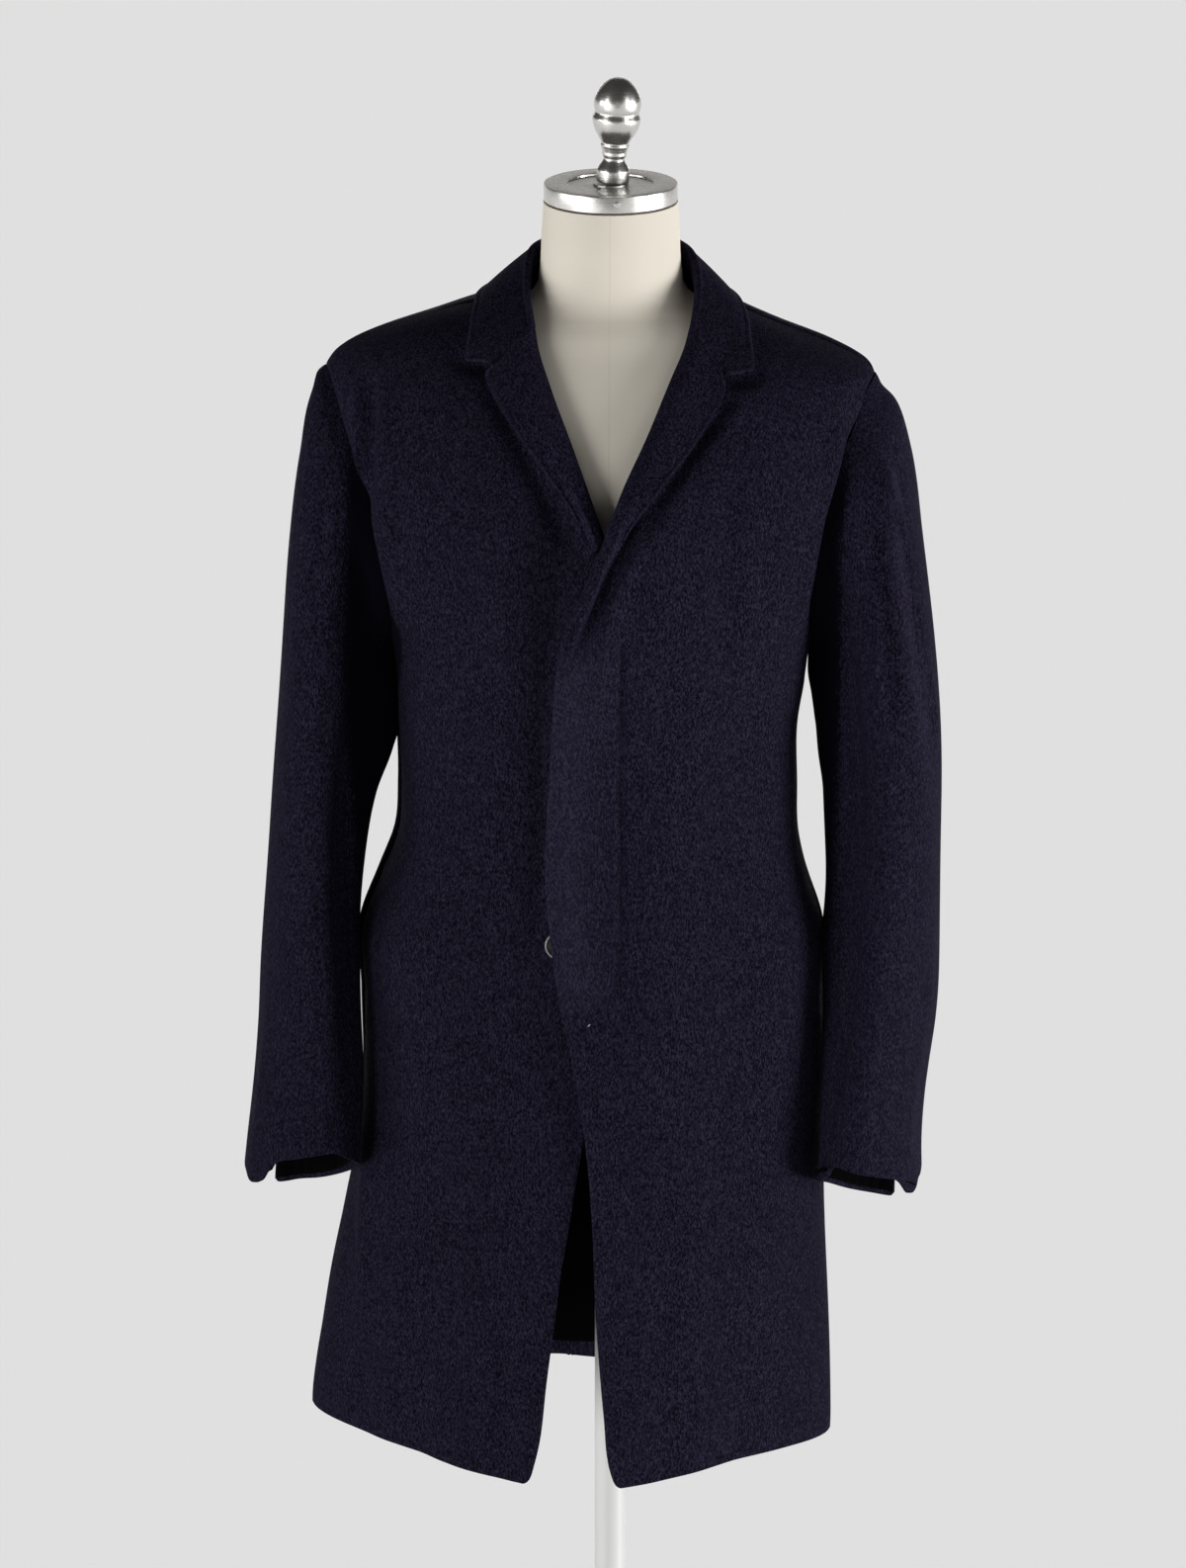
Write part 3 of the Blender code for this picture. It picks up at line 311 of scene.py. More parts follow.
Edge = namedtuple("Edge", "height x")
LEFT_FRONT_EDGE = [
    Edge(0.500, 0.0080), Edge(0.530, -0.0016), Edge(0.575, -0.0061), Edge(0.650, -0.0116),
    Edge(0.739, -0.0152), Edge(0.805, -0.0211), Edge(0.873, -0.0321), Edge(0.917, -0.0406),
    Edge(0.968, -0.0476), Edge(1.020, -0.0507), Edge(1.080, -0.0480), Edge(1.148, -0.0443),
    Edge(1.191, -0.0404), Edge(1.217, -0.0342), Edge(1.246, -0.0210), Edge(1.270, -0.0115),
    Edge(1.284, -0.0050),
]
RIGHT_FRONT_EDGE = [  # hidden by the left front above 0.79
    Edge(0.500, -0.0690), Edge(0.550, -0.0568), Edge(0.600, -0.0512), Edge(0.650, -0.0448),
    Edge(0.692, -0.0393), Edge(0.729, -0.0329), Edge(0.775, -0.0258), Edge(0.860, -0.0080),
    Edge(0.950, 0.0140), Edge(1.060, 0.0230), Edge(1.150, 0.0240), Edge(1.230, 0.0140),
    Edge(1.284, -0.0080),
]

Roll = namedtuple("Roll", "height x")
ROLL_LINE = {  # the fold of each lapel, up to the collar seam
    -1: [Roll(1.284, -0.0050), Roll(1.325, -0.0205), Roll(1.359, -0.0335), Roll(1.398, -0.0490),
         Roll(1.424, -0.0580), Roll(1.441, -0.0610)],
    1: [Roll(1.284, -0.0040), Roll(1.320, 0.0100), Roll(1.359, 0.0288), Roll(1.402, 0.0482),
        Roll(1.424, 0.0585), Roll(1.441, 0.0635)],
}


class Curve:
    """A smooth curve through the rows of a table, read at any value of its first column."""

    def __init__(self, rows):
        table = np.array(rows, dtype=float)
        self.at, self.values = table[:, 0], table[:, 1:]
        self.slopes = np.gradient(self.values, self.at, axis=0)

    def __call__(self, where):
        where = np.clip(np.asarray(where, dtype=float), self.at[0], self.at[-1])
        row = np.clip(np.searchsorted(self.at, where) - 1, 0, len(self.at) - 2)
        span = self.at[row + 1] - self.at[row]
        t = ((where - self.at[row]) / span)[..., None]
        span = span[..., None]
        a, b = self.values[row], self.values[row + 1]
        sa, sb = self.slopes[row] * span, self.slopes[row + 1] * span
        value = (
            a * (2 * t**3 - 3 * t**2 + 1) + sa * (t**3 - 2 * t**2 + t)
            + b * (3 * t**2 - 2 * t**3) + sb * (t**3 - t**2)
        )
        return [value[..., k] for k in range(value.shape[-1])]


BODY_AT = Curve(BODY)
LEFT_EDGE_AT = Curve(LEFT_FRONT_EDGE)
RIGHT_EDGE_AT = Curve(RIGHT_FRONT_EDGE)
ROLL_AT = {side: Curve(rows) for side, rows in ROLL_LINE.items()}


def smooth(value, low, high):
    """0 below low, 1 above high, an S between them."""
    t = np.clip((value - low) / (high - low), 0.0, 1.0)
    return t * t * (3 - 2 * t)


def between(value, rise, fall):
    """0, then 1 from the end of rise to the start of fall, then 0 again; both are (from, to) pairs."""
    return smooth(value, *rise) * (1 - smooth(value, *fall))


def bell(distance, width):
    """1 at 0, dying away on both sides."""
    return np.exp(-(distance / width) ** 2)


def stack(x, y, z):
    return np.stack(np.broadcast_arrays(x, y, z), axis=-1)


def signed_power(value, power):
    return np.sign(value) * np.abs(value) ** power


def unit(vectors):
    return vectors / np.maximum(np.linalg.norm(vectors, axis=-1, keepdims=True), 1e-12)


# ---- the body's surface -----------------------------------------------------------------------------
# A point is given by its turn, 0 at the middle of the front, 90 degrees at the wearer's left
# side, 180 at the middle of the back, and its height.
def body_point(turn, height):
    centre, half_width, skew, front, back, square = BODY_AT(height)
    across = signed_power(np.sin(turn), 2 / square)
    along = signed_power(np.cos(turn), 2 / square)
    depth = np.where(np.cos(turn) > 0, front, back)
    reach = half_width + skew * np.sign(across)
    return stack(centre + reach * across, -depth * along, height)


def normal_of(surface, first, second, step=1e-3, facing=1.0):
    """Unit normal of a surface of two parameters."""
    a = surface(first + step, second) - surface(first - step, second)
    b = surface(first, second + step) - surface(first, second - step)
    return unit(np.cross(a, b)) * facing


def body_normal(turn, height):
    return normal_of(body_point, turn, height)


def turn_of_x(x, height):
    """Turn of the point on the front at a given x."""
    centre, half_width, skew, _, _, square = BODY_AT(height)
    reach = half_width + skew * np.sign(x - centre)
    share = np.clip((x - centre) / reach, -0.9999, 0.9999)
    return np.arcsin(signed_power(share, square / 2))


def hem_height(turn):
    left = np.sin(turn) > 0
    side = np.where(left, HEM_LEFT, HEM_RIGHT)
    front = np.where(left, HEM_FRONT_LEFT, HEM_FRONT_RIGHT)
    middle = np.where(np.cos(turn) > 0, front, HEM_BACK)
    return middle + (side - middle) * np.sin(turn) ** 2 + HEM_RISE * np.sin(2 * turn) ** 2


# ---- the armhole: an egg, seen from the side, laid on the body --------------------------------------
ARMHOLE_FRONT = 0.062        # how far it reaches forward and back
ARMHOLE_BACK = 0.077
ARMHOLE_DROP = 0.16          # how much fuller it is low down


def armhole_turn_height(side, angle, wider=0.0):
    """Angle 0 at the shoulder point, 90 degrees in front, 180 at the armpit."""
    top, bottom = SHOULDER_POINT[side] + wider, ARMPIT - wider
    height = (top + bottom) / 2 + (top - bottom) / 2 * np.cos(angle)
    reach = np.where(np.sin(angle) >= 0, ARMHOLE_FRONT, ARMHOLE_BACK) + wider
    forward = reach * np.sin(angle) * (1 - ARMHOLE_DROP * np.cos(angle))
    *_, front, back, square = BODY_AT(height)
    depth = np.where(forward >= 0, front, back)
    turn = np.arccos(signed_power(np.clip(np.abs(forward) / depth, 0, 1), square / 2))
    turn = np.where(forward >= 0, turn, pi - turn)
    return side * turn, height


# ---- panels of the body: four-sided patches in (turn, height) ---------------------------------------
LOW_ROWS, ARM_ROWS, SHOULDER_ROWS = 9, 9, 4  # hem to armpit, up the armhole, and up to the neck
PANEL_ROWS = LOW_ROWS + ARM_ROWS + SHOULDER_ROWS
INNER_ARMPIT, INNER_SHOULDER = 1.175, 1.392      # heights at the inner edge of the same rows


def outer_edge(side, row, back):
    """Turn and height of the panel's outer edge: side seam, armhole, shoulder seam."""
    low = row / LOW_ROWS
    arm = (row - LOW_ROWS) / ARM_ROWS
    top = (row - LOW_ROWS - ARM_ROWS) / SHOULDER_ROWS
    angle = pi * (1 - np.clip(arm, 0, 1))
    turn, height = armhole_turn_height(side, -angle if back else angle)
    half = side * pi / 2
    turn = np.where((arm <= 0) | (top >= 0), half, turn)
    hem = hem_height(half)
    height = np.where(arm <= 0, hem + (ARMPIT - hem) * np.clip(low, 0, 1), height)
    point = SHOULDER_POINT[side]
    height = np.where(top > 0, point + (NECK_POINT - point) * np.clip(top, 0, 1), height)
    return turn, height


def inner_height(row, low_end, last):
    low = np.clip(row / LOW_ROWS, 0, 1)
    arm = np.clip((row - LOW_ROWS) / ARM_ROWS, 0, 1)
    top = np.clip((row - LOW_ROWS - ARM_ROWS) / SHOULDER_ROWS, 0, 1)
    return (
        low_end + (INNER_ARMPIT - low_end) * low
        + (INNER_SHOULDER - INNER_ARMPIT) * arm + (last - INNER_SHOULDER) * top
    )


LAPEL_UNDERLAP = 0.0094      # the front panel ends this far under the lapel's fold
ROLL_START = {-1: (1.255, 1.284), 1: (1.196, 1.226)}     # heights over which the fold begins


def front_edge_x(side, height):
    edge = LEFT_EDGE_AT if side > 0 else RIGHT_EDGE_AT
    roll = ROLL_AT[side](height)[0]
    blend = smooth(height, *V_BLEND)
    under = side * LAPEL_UNDERLAP * smooth(height, *ROLL_START[side])
    return edge(height)[0] * (1 - blend) + roll * blend + under


def front_place(side, u, v):
    """Turn and height on a front panel: u from the front edge to the side, v from hem to neck."""
    row = v * PANEL_ROWS
    middle_hem, side_hem = hem_height(0.0), hem_height(side * pi / 2)
    turn_out, height_out = outer_edge(side, row, False)
    height_in = inner_height(row, middle_hem, GORGE)
    turn_in = turn_of_x(front_edge_x(side, height_in), height_in)
    turn = turn_in + (turn_out - turn_in) * u
    height = height_in + (height_out - height_in) * u
    low = np.clip(row / LOW_ROWS, 0, 1)
    bend = hem_height(turn) - (middle_hem + (side_hem - middle_hem) * u)
    return turn, height + bend * (1 - low)


def back_place(side, u, v):
    """u from the centre-back seam to the side."""
    row = v * PANEL_ROWS
    turn_out, height_out = outer_edge(side, row, True)
    height_in = inner_height(row, hem_height(pi), BACK_NECK)
    turn_in = side * pi
    turn = turn_in + (turn_out - turn_in) * u
    return turn, height_in + (height_out - height_in) * u


def lift_of(side, turn, height):
    """How far the left front stands off the surface that the right front lies on."""
    if side < 0:
        return 0.0 * turn
    x = body_point(turn, height)[..., 0]
    most = LOW_LIFT + (FRONT_LIFT - LOW_LIFT) * smooth(height, *LIFT_HEIGHTS)
    most = most + ROLL_LIFT * bell(height - ROLL_LIFT_AT, ROLL_LIFT_SPREAD)
    return most * (1 - smooth(x, *LIFT_END_X)) * (1 - smooth(height, *LIFT_TOP))


def front_point(side, turn, height, out=0.0):
    """A point on a front panel's outer face, moved out."""
    out = out + lift_of(side, turn, height)
    return body_point(turn, height) + body_normal(turn, height) * np.asarray(out)[..., None]


# ---- sleeves ----------------------------------------------------------------------------------------
Ring = namedtuple("Ring", "way outer_x outer_z inner_x inner_z centre_y half_depth pitch yaw")
SLEEVE = {  # x is measured outwards from the middle; way runs down the sleeve
    -1: [
        Ring(0.00, 0.2225, 1.400, 0.1770, 1.187, 0.0075, 0.0695, 0, 0),
        Ring(0.05, 0.2390, 1.378, 0.1790, 1.163, 0.0070, 0.0710, 0, 0),
        Ring(0.12, 0.2480, 1.330, 0.1750, 1.125, 0.0060, 0.0740, 0, 0),
        Ring(0.22, 0.2560, 1.262, 0.1775, 1.085, 0.0050, 0.0780, 1, 0),
        Ring(0.34, 0.2635, 1.175, 0.1900, 1.048, 0.0040, 0.0790, 2, 1),
        Ring(0.46, 0.2705, 1.080, 0.1980, 1.000, 0.001, 0.077, 4, 3),
        Ring(0.58, 0.2760, 0.990, 0.2030, 0.950, -0.006, 0.073, 8, 6),
        Ring(0.70, 0.2830, 0.900, 0.2035, 0.885, -0.019, 0.069, 13, 10),
        Ring(0.82, 0.2895, 0.830, 0.2020, 0.825, -0.034, 0.065, 18, 12),
        Ring(0.92, 0.2950, 0.775, 0.2040, 0.780, -0.046, 0.062, 22, 12),
        Ring(1.00, 0.2975, 0.737, 0.2060, 0.748, -0.055, 0.060, 24, 12),
    ],
    1: [
        Ring(0.00, 0.2055, 1.392, 0.1630, 1.187, 0.0075, 0.0695, 0, 0),
        Ring(0.05, 0.2240, 1.370, 0.1650, 1.163, 0.0070, 0.0710, 0, 0),
        Ring(0.12, 0.2370, 1.330, 0.1620, 1.125, 0.0060, 0.0740, 0, 0),
        Ring(0.22, 0.2480, 1.262, 0.1650, 1.085, 0.0050, 0.0780, 1, 0),
        Ring(0.34, 0.2590, 1.175, 0.1710, 1.048, 0.0040, 0.0790, 2, 1),
        Ring(0.46, 0.2665, 1.080, 0.1740, 1.000, 0.001, 0.077, 4, 3),
        Ring(0.58, 0.2675, 0.990, 0.1760, 0.950, -0.006, 0.073, 8, 6),
        Ring(0.70, 0.2650, 0.900, 0.1800, 0.885, -0.019, 0.069, 13, 10),
        Ring(0.82, 0.2585, 0.830, 0.1750, 0.825, -0.034, 0.065, 18, 12),
        Ring(0.92, 0.2545, 0.775, 0.1700, 0.780, -0.046, 0.062, 22, 12),
        Ring(1.00, 0.2535, 0.729, 0.1680, 0.745, -0.055, 0.060, 24, 12),
    ],
}
SLEEVE_AT = {side: Curve(rows) for side, rows in SLEEVE.items()}
SLEEVE_SQUARE = 2.35
ARMHOLE_EASE = 0.16          # share of the sleeve over which its head turns into a round tube
FIRST_OWN_NORMAL = 0.012     # nearer the armhole than this a sleeve faces as it does here
BODY_NORMAL_END = 0.035      # down to here its top faces the way the shoulder does


def sleeve_ring(side, way, angle):
    outer_x, outer_z, inner_x, inner_z, centre_y, half_depth, pitch, yaw = SLEEVE_AT[side](way)
    pitch, yaw = np.radians(pitch), np.radians(yaw)
    across = signed_power(np.cos(angle), 2 / SLEEVE_SQUARE)
    forward = signed_power(np.sin(angle), 2 / SLEEVE_SQUARE) * half_depth
    half_x, half_z = (outer_x - inner_x) / 2, (outer_z - inner_z) / 2
    x = (outer_x + inner_x) / 2 + half_x * across - forward * np.sin(yaw)
    y = centre_y - forward * np.cos(yaw) * np.cos(pitch) + half_x * across * np.sin(yaw)
    z = (outer_z + inner_z) / 2 + half_z * across + forward * np.sin(pitch)
    return stack(side * x, y, z)


def sleeve_point(side, way, angle):
    ring = sleeve_ring(side, way, angle)
    turn, height = armhole_turn_height(side, angle)
    head = body_point(turn, height) - sleeve_ring(side, np.zeros_like(way), angle)
    keep = 1 - smooth(way, 0.0, ARMHOLE_EASE)
    return ring + head * keep[..., None]


def sleeve_normal(side, way, angle):
    inside = np.maximum(way, FIRST_OWN_NORMAL)
    own = normal_of(lambda a, b: sleeve_point(side, a, b), inside, angle, 2e-3, -side)
    turn, height = armhole_turn_height(side, angle)
    body = body_normal(turn, height)
    keep = ((1 - smooth(way, 0.0, BODY_NORMAL_END)) * smooth(np.cos(angle), -0.3, 0.3))[..., None]
    return unit(own * (1 - keep) + body * keep)


# ---- creases, seams and edges -----------------------------------------------------------------------
# Every relief is a height in metres, outwards, to be added to a surface.
Crease = namedtuple("Crease", "x0 z0 x1 z1 bow width rise")
FRONT_CREASES = {
    1: [  # left front
        Crease(0.0210, 1.310, -0.0215, 1.205, 0.000, 0.0060, -0.0085),    # where the lapel runs out
        Crease(0.0160, 1.300, -0.0120, 1.140, 0.004, 0.0095, 0.0050),
        Crease(0.0150, 1.280, 0.0990, 1.396, -0.003, 0.0085, -0.0055),    # along the lapel's edge
        Crease(0.0780, 1.4035, 0.1220, 1.4035, 0.000, 0.0065, -0.0050),   # under the collar's end
        Crease(0.0800, 1.340, 0.0700, 1.150, 0.003, 0.0090, 0.0012),
        Crease(0.0960, 1.345, 0.0870, 1.160, 0.003, 0.0070, -0.0012),
        Crease(0.1130, 1.330, 0.1040, 1.140, 0.002, 0.0080, 0.0011),
        Crease(0.1290, 1.320, 0.1190, 1.190, 0.002, 0.0070, -0.0012),
        Crease(0.1960, 1.385, 0.1560, 1.205, -0.008, 0.0080, -0.0032),    # along the armhole
        Crease(0.1800, 1.380, 0.1430, 1.190, -0.008, 0.0090, 0.0022),
        Crease(0.0390, 0.700, 0.0450, 0.500, 0.000, 0.0110, -0.0016),     # skirt
        Crease(0.0640, 0.760, 0.0720, 0.500, 0.002, 0.0130, 0.0022),
        Crease(0.0930, 0.720, 0.1030, 0.500, 0.000, 0.0110, -0.0018),
        Crease(0.1250, 0.800, 0.1330, 0.500, 0.003, 0.0140, 0.0020),
        Crease(0.0270, 1.020, 0.0330, 0.800, 0.002, 0.0160, 0.0012),
    ],
    -1: [  # right front
        Crease(-0.2005, 1.398, -0.1990, 1.310, 0.000, 0.0040, 0.0026),    # along the armhole
        Crease(-0.1890, 1.400, -0.1925, 1.290, 0.000, 0.0060, -0.0078),
        Crease(-0.1790, 1.390, -0.1760, 1.250, 0.000, 0.0080, 0.0036),
        Crease(-0.1690, 1.330, -0.1600, 1.200, 0.002, 0.0080, -0.0014),
        Crease(-0.0360, 1.330, -0.0500, 1.150, 0.000, 0.0180, -0.0080),   # down to the left front's edge
        Crease(-0.0500, 1.210, -0.0600, 0.940, 0.000, 0.0100, -0.0046),
        Crease(-0.1010, 1.415, -0.0190, 1.258, 0.000, 0.0100, -0.0066),   # along the lapel's edge
        Crease(-0.0780, 1.4140, -0.1260, 1.4140, 0.000, 0.0065, -0.0050),  # under the collar's end
        Crease(-0.0950, 1.310, -0.0850, 1.080, -0.004, 0.0140, 0.0012),
        Crease(-0.1955, 0.775, -0.2010, 0.620, 0.001, 0.0065, 0.0036),    # below the cuff
        Crease(-0.2060, 0.770, -0.2120, 0.610, 0.001, 0.0070, -0.0022),
        Crease(-0.1430, 0.690, -0.1560, 0.490, 0.000, 0.0110, -0.0022),   # skirt
        Crease(-0.1120, 0.760, -0.1200, 0.490, -0.002, 0.0140, 0.0022),
        Crease(-0.0840, 0.680, -0.0900, 0.490, 0.000, 0.0100, -0.0015),
        Crease(-0.1700, 0.720, -0.1880, 0.490, 0.000, 0.0120, 0.0020),
    ],
}
BACK_CREASES = [
    Crease(-0.1500, 1.360, -0.1280, 1.150, -0.010, 0.0120, -0.0036),      # from the armholes down
    Crease(-0.1280, 1.370, -0.1080, 1.130, -0.008, 0.0130, 0.0030),
    Crease(0.1420, 1.350, 0.1220, 1.160, 0.010, 0.0110, -0.0034),
    Crease(0.1200, 1.365, 0.1020, 1.120, 0.008, 0.0140, 0.0028),
    Crease(-0.0550, 1.330, -0.0450, 1.080, 0.004, 0.0160, -0.0016),
    Crease(0.0420, 1.310, 0.0330, 1.060, -0.004, 0.0150, -0.0014),
    Crease(-0.1500, 1.060, -0.0500, 1.020, 0.006, 0.0100, -0.0018),       # waist
    Crease(0.1350, 1.050, 0.0480, 1.016, -0.006, 0.0090, -0.0015),
    Crease(-0.1150, 0.860, -0.1450, 0.480, 0.004, 0.0200, 0.0050),        # skirt
    Crease(-0.0720, 0.820, -0.0900, 0.480, 0.003, 0.0170, -0.0036),
    Crease(-0.0350, 0.740, -0.0480, 0.480, 0.000, 0.0150, 0.0026),
    Crease(0.0330, 0.780, 0.0350, 0.480, 0.000, 0.0160, -0.0028),
    Crease(0.0700, 0.850, 0.0820, 0.480, -0.003, 0.0190, 0.0044),
    Crease(0.1130, 0.780, 0.1240, 0.480, -0.002, 0.0150, -0.0030),
]
SLEEVE_CREASES = {  # across: metres round the sleeve from its outer side; down: metres along it
    1: [
        Crease(0.0640, 0.005, 0.0565, 0.235, 0.000, 0.0042, 0.0052),      # the long ridge in front
        Crease(0.0575, 0.180, 0.0300, 0.300, 0.000, 0.0050, 0.0034),
        Crease(0.0500, 0.030, 0.0430, 0.230, 0.000, 0.0060, -0.0018),
        Crease(0.0930, 0.030, 0.0980, 0.240, 0.000, 0.0090, -0.0034),
        Crease(0.1100, 0.060, 0.0980, 0.250, 0.004, 0.0090, -0.0020),
        Crease(0.1380, 0.300, 0.0900, 0.350, 0.004, 0.0090, -0.0022),     # elbow, inner side
        Crease(0.1400, 0.345, 0.1000, 0.405, 0.004, 0.0080, -0.0018),
        Crease(-0.0420, 0.300, -0.0980, 0.330, 0.006, 0.0110, -0.0024),   # elbow, behind
        Crease(-0.0380, 0.365, -0.0960, 0.375, 0.006, 0.0100, -0.0020),
        Crease(-0.0600, 0.030, -0.0560, 0.230, 0.004, 0.0090, 0.0022),
        Crease(0.0250, 0.420, 0.0300, 0.640, 0.000, 0.0120, 0.0012),
    ],
    -1: [
        Crease(0.0480, 0.015, 0.0520, 0.220, 0.003, 0.0060, 0.0018),
        Crease(0.0350, 0.030, 0.0400, 0.220, 0.003, 0.0080, -0.0012),
        Crease(0.0760, 0.020, 0.0840, 0.170, 0.003, 0.0065, -0.0014),
        Crease(0.0900, 0.030, 0.0960, 0.200, 0.002, 0.0070, 0.0013),
        Crease(0.1150, 0.070, 0.1020, 0.270, 0.004, 0.0090, -0.0020),
        Crease(0.1360, 0.290, 0.0880, 0.345, 0.004, 0.0090, -0.0020),
        Crease(0.1420, 0.350, 0.0980, 0.400, 0.004, 0.0085, -0.0016),
        Crease(-0.0400, 0.290, -0.0960, 0.320, 0.006, 0.0110, -0.0022),
        Crease(-0.0400, 0.350, -0.0980, 0.370, 0.006, 0.0100, -0.0020),
        Crease(-0.0620, 0.030, -0.0580, 0.210, 0.004, 0.0090, 0.0020),
        Crease(0.0200, 0.430, 0.0260, 0.640, 0.000, 0.0120, 0.0012),
    ],
}
CREASE_START, CREASE_END = (-0.10, 0.25), (0.70, 1.10)       # shares over which a crease grows and dies
SLEEVE_GIRTH = 0.070         # metres of cloth to a radian
SLEEVE_LENGTH = 0.66
RANDOM = np.random.RandomState(41)
SWAY_RISE = 0.00042
SWAYS = [  # slow, uneven waves over all cloth: waves to a metre across and up, and where they start
    (RANDOM.uniform(-9, 9), RANDOM.uniform(-5, 5), RANDOM.uniform(0, 6.28))
    for _ in range(9)
]


def creased(creases, a, b):
    """Soft ridges and troughs along slightly bowed lines."""
    total = np.zeros_like(a)
    for line in creases:
        way_a, way_b = line.x1 - line.x0, line.z1 - line.z0
        length = np.hypot(way_a, way_b)
        share = ((a - line.x0) * way_a + (b - line.z0) * way_b) / length**2
        off = ((a - line.x0) * way_b - (b - line.z0) * way_a) / length
        off = off - line.bow * 4 * share * (1 - share)
        total += line.rise * bell(off, line.width) * between(share, CREASE_START, CREASE_END)
    return total


def sway(a, b, turn=0.0):
    return sum(SWAY_RISE * np.sin(2 * pi * (many_a * a + many_b * b) + start + turn)
               for many_a, many_b, start in SWAYS)


def bump_at(distance, centre, width, rise):
    return rise * bell(distance - centre, width)


def seam_dip(distance):
    """Two pieces sewn together: each rolls down into the seam."""
    return bump_at(distance, 0.0, 0.0026, -0.0013) + bump_at(distance, 0.0060, 0.0040, 0.00035)


def stitched_edge(distance):
    """A finished edge with a row of stitches sunk behind its rim."""
    return bump_at(distance, 0.0020, 0.0016, 0.00055) + bump_at(distance, 0.0055, 0.0014, -0.00050)


def turned_hem(distance):
    """The lower edge of a front or a back, pressed thin."""
    return bump_at(distance, 0.0, 0.004, -0.0006)


def rounded_corner(share, radius):
    """How far an edge is cut back at a share of the way along it, by a round corner at 0."""
    near = np.clip(1 - share / radius, 0, 1)
    return 1 - np.sqrt(1 - near**2)


# ---- making pieces ----------------------------------------------------------------------------------
def mesh_of(name, bm):
    mesh = bpy.data.meshes.new(name)
    bm.to_mesh(mesh)
    bm.free()
    return mesh


def show(name, mesh, finish, stands_for):
    mesh.materials.append(finish)
    mesh.shade_smooth()
    piece = bpy.data.objects.new(name, mesh)
    bpy.context.scene.collection.objects.link(piece)
    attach(piece, "root")
    if stands_for:
        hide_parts(stands_for)
    return piece


SHARP_EDGE = radians(55)     # the rims of a piece of cloth turn by more than this, and its folds by less


def lay(name, columns, rows, place, side, finish, thickness=WOOL, round_off=ROUND_OFF,
        painted_light_and_shade=None):
    """A piece of cloth: place(u, v) is its outer face, and its wall grows inwards.  side is 1 where
    that face looks outwards as it is laid, and -1 where it has to be turned.  The last argument, a
    function of (u, v), gives painted light above 0 and painted shade below 0 for the wool's colour."""
    bm = bmesh.new()
    bmesh.ops.create_grid(bm, x_segments=columns, y_segments=rows, size=0.5)
    mesh = mesh_of(name, bm)
    spots = np.empty(3 * len(mesh.vertices))
    mesh.vertices.foreach_get("co", spots)
    u, v = np.clip(spots.reshape(-1, 3)[:, :2].T + 0.5, 0, 1)
    mesh.vertices.foreach_set("co", place(u, v).ravel())
    # painted light and painted shade, kept on the mesh for the wool's colour
    if painted_light_and_shade:
        mesh.attributes.new("painted_light_and_shade", "FLOAT", "POINT").data.foreach_set("value", painted_light_and_shade(u, v))
    if side < 0:
        mesh.flip_normals()
    mesh.update()
    piece = show(name, mesh, finish, name.removesuffix("_cloth"))
    wall = piece.modifiers.new("wall", "SOLIDIFY")
    wall.thickness = thickness
    wall.offset = -1.0
    edge = piece.modifiers.new("rounded_edge", "BEVEL")
    edge.limit_method = "ANGLE"
    edge.angle_limit = SHARP_EDGE
    edge.width = round_off
    edge.segments = 2
    return piece


# ---- fronts and back --------------------------------------------------------------------------------
PANEL_WIDTH, PANEL_LENGTH = 0.24, 0.93       # rough sizes, to turn shares into metres at the edges
EDGE_SPACING = 1.30          # powers that bring columns closer together at a front edge
STITCH_PATH = [  # the fly's row of stitches in the left front, from the chest down to its end
    (0.0077, 1.206), (0.0079, 1.150), (0.0078, 1.086), (0.0083, 1.010), (0.0085, 0.957),
    (0.0079, 0.945), (0.0048, 0.931), (-0.0022, 0.917), (-0.0093, 0.907), (-0.0191, 0.895),
    (-0.0250, 0.888),
]


def stitch_line(x, z):
    """The fly's stitches draw the cloth in, and it swells a little beside them."""
    nearest = np.full_like(x, 1.0)
    for (xa, za), (xb, zb) in zip(STITCH_PATH, STITCH_PATH[1:]):
        way_x, way_z = xb - xa, zb - za
        share = np.clip(((x - xa) * way_x + (z - za) * way_z) / (way_x**2 + way_z**2), 0, 1)
        nearest = np.minimum(nearest, np.hypot(x - xa - share * way_x, z - za - share * way_z))
    return bump_at(nearest, 0.0, 0.0022, -0.0022) + bump_at(nearest, 0.0065, 0.0040, 0.0005)


ARMHOLE_VALLEY = {  # degrees round the armhole, 0 on top and positive in front: how deep the seam lies
    -1: ((-180, -120, -30, 0, 20, 60, 90, 150, 180),
         (0.0050, 0.0030, 0.0012, 0.0, 0.0022, 0.0052, 0.0080, 0.0080, 0.0050)),
    1: ((-180, -120, -30, 0, 20, 60, 90, 150, 180),
        (0.0050, 0.0030, 0.0010, 0.0, 0.0012, 0.0040, 0.0070, 0.0080, 0.0050)),
}
VALLEY_WIDTH = {-1: 0.0065, 1: 0.0095}       # on the body
SHOULDER_SWELL = 0.0030      # over the pad at the top of the armhole
SWELL_WIDTH = 0.020
SWELL_DEGREES = 26           # how far round the armhole it goes
FLUSH_DEGREES = (12, 32)     # the left shoulder has no dip up to the first, and all of it from the second
ARM_PANEL_WIDTH = 0.14       # rough width of a panel beside the armhole


def armhole_relief(side, degrees):
    swell = SHOULDER_SWELL * (1 - smooth(np.abs(degrees), 0, SWELL_DEGREES))
    return swell - np.interp(degrees, *ARMHOLE_VALLEY[side])


def flush(side, degrees):
    """1 where the left shoulder runs into its sleeve with no dip between them."""
    return (side > 0) * (1 - smooth(np.abs(degrees), *FLUSH_DEGREES))


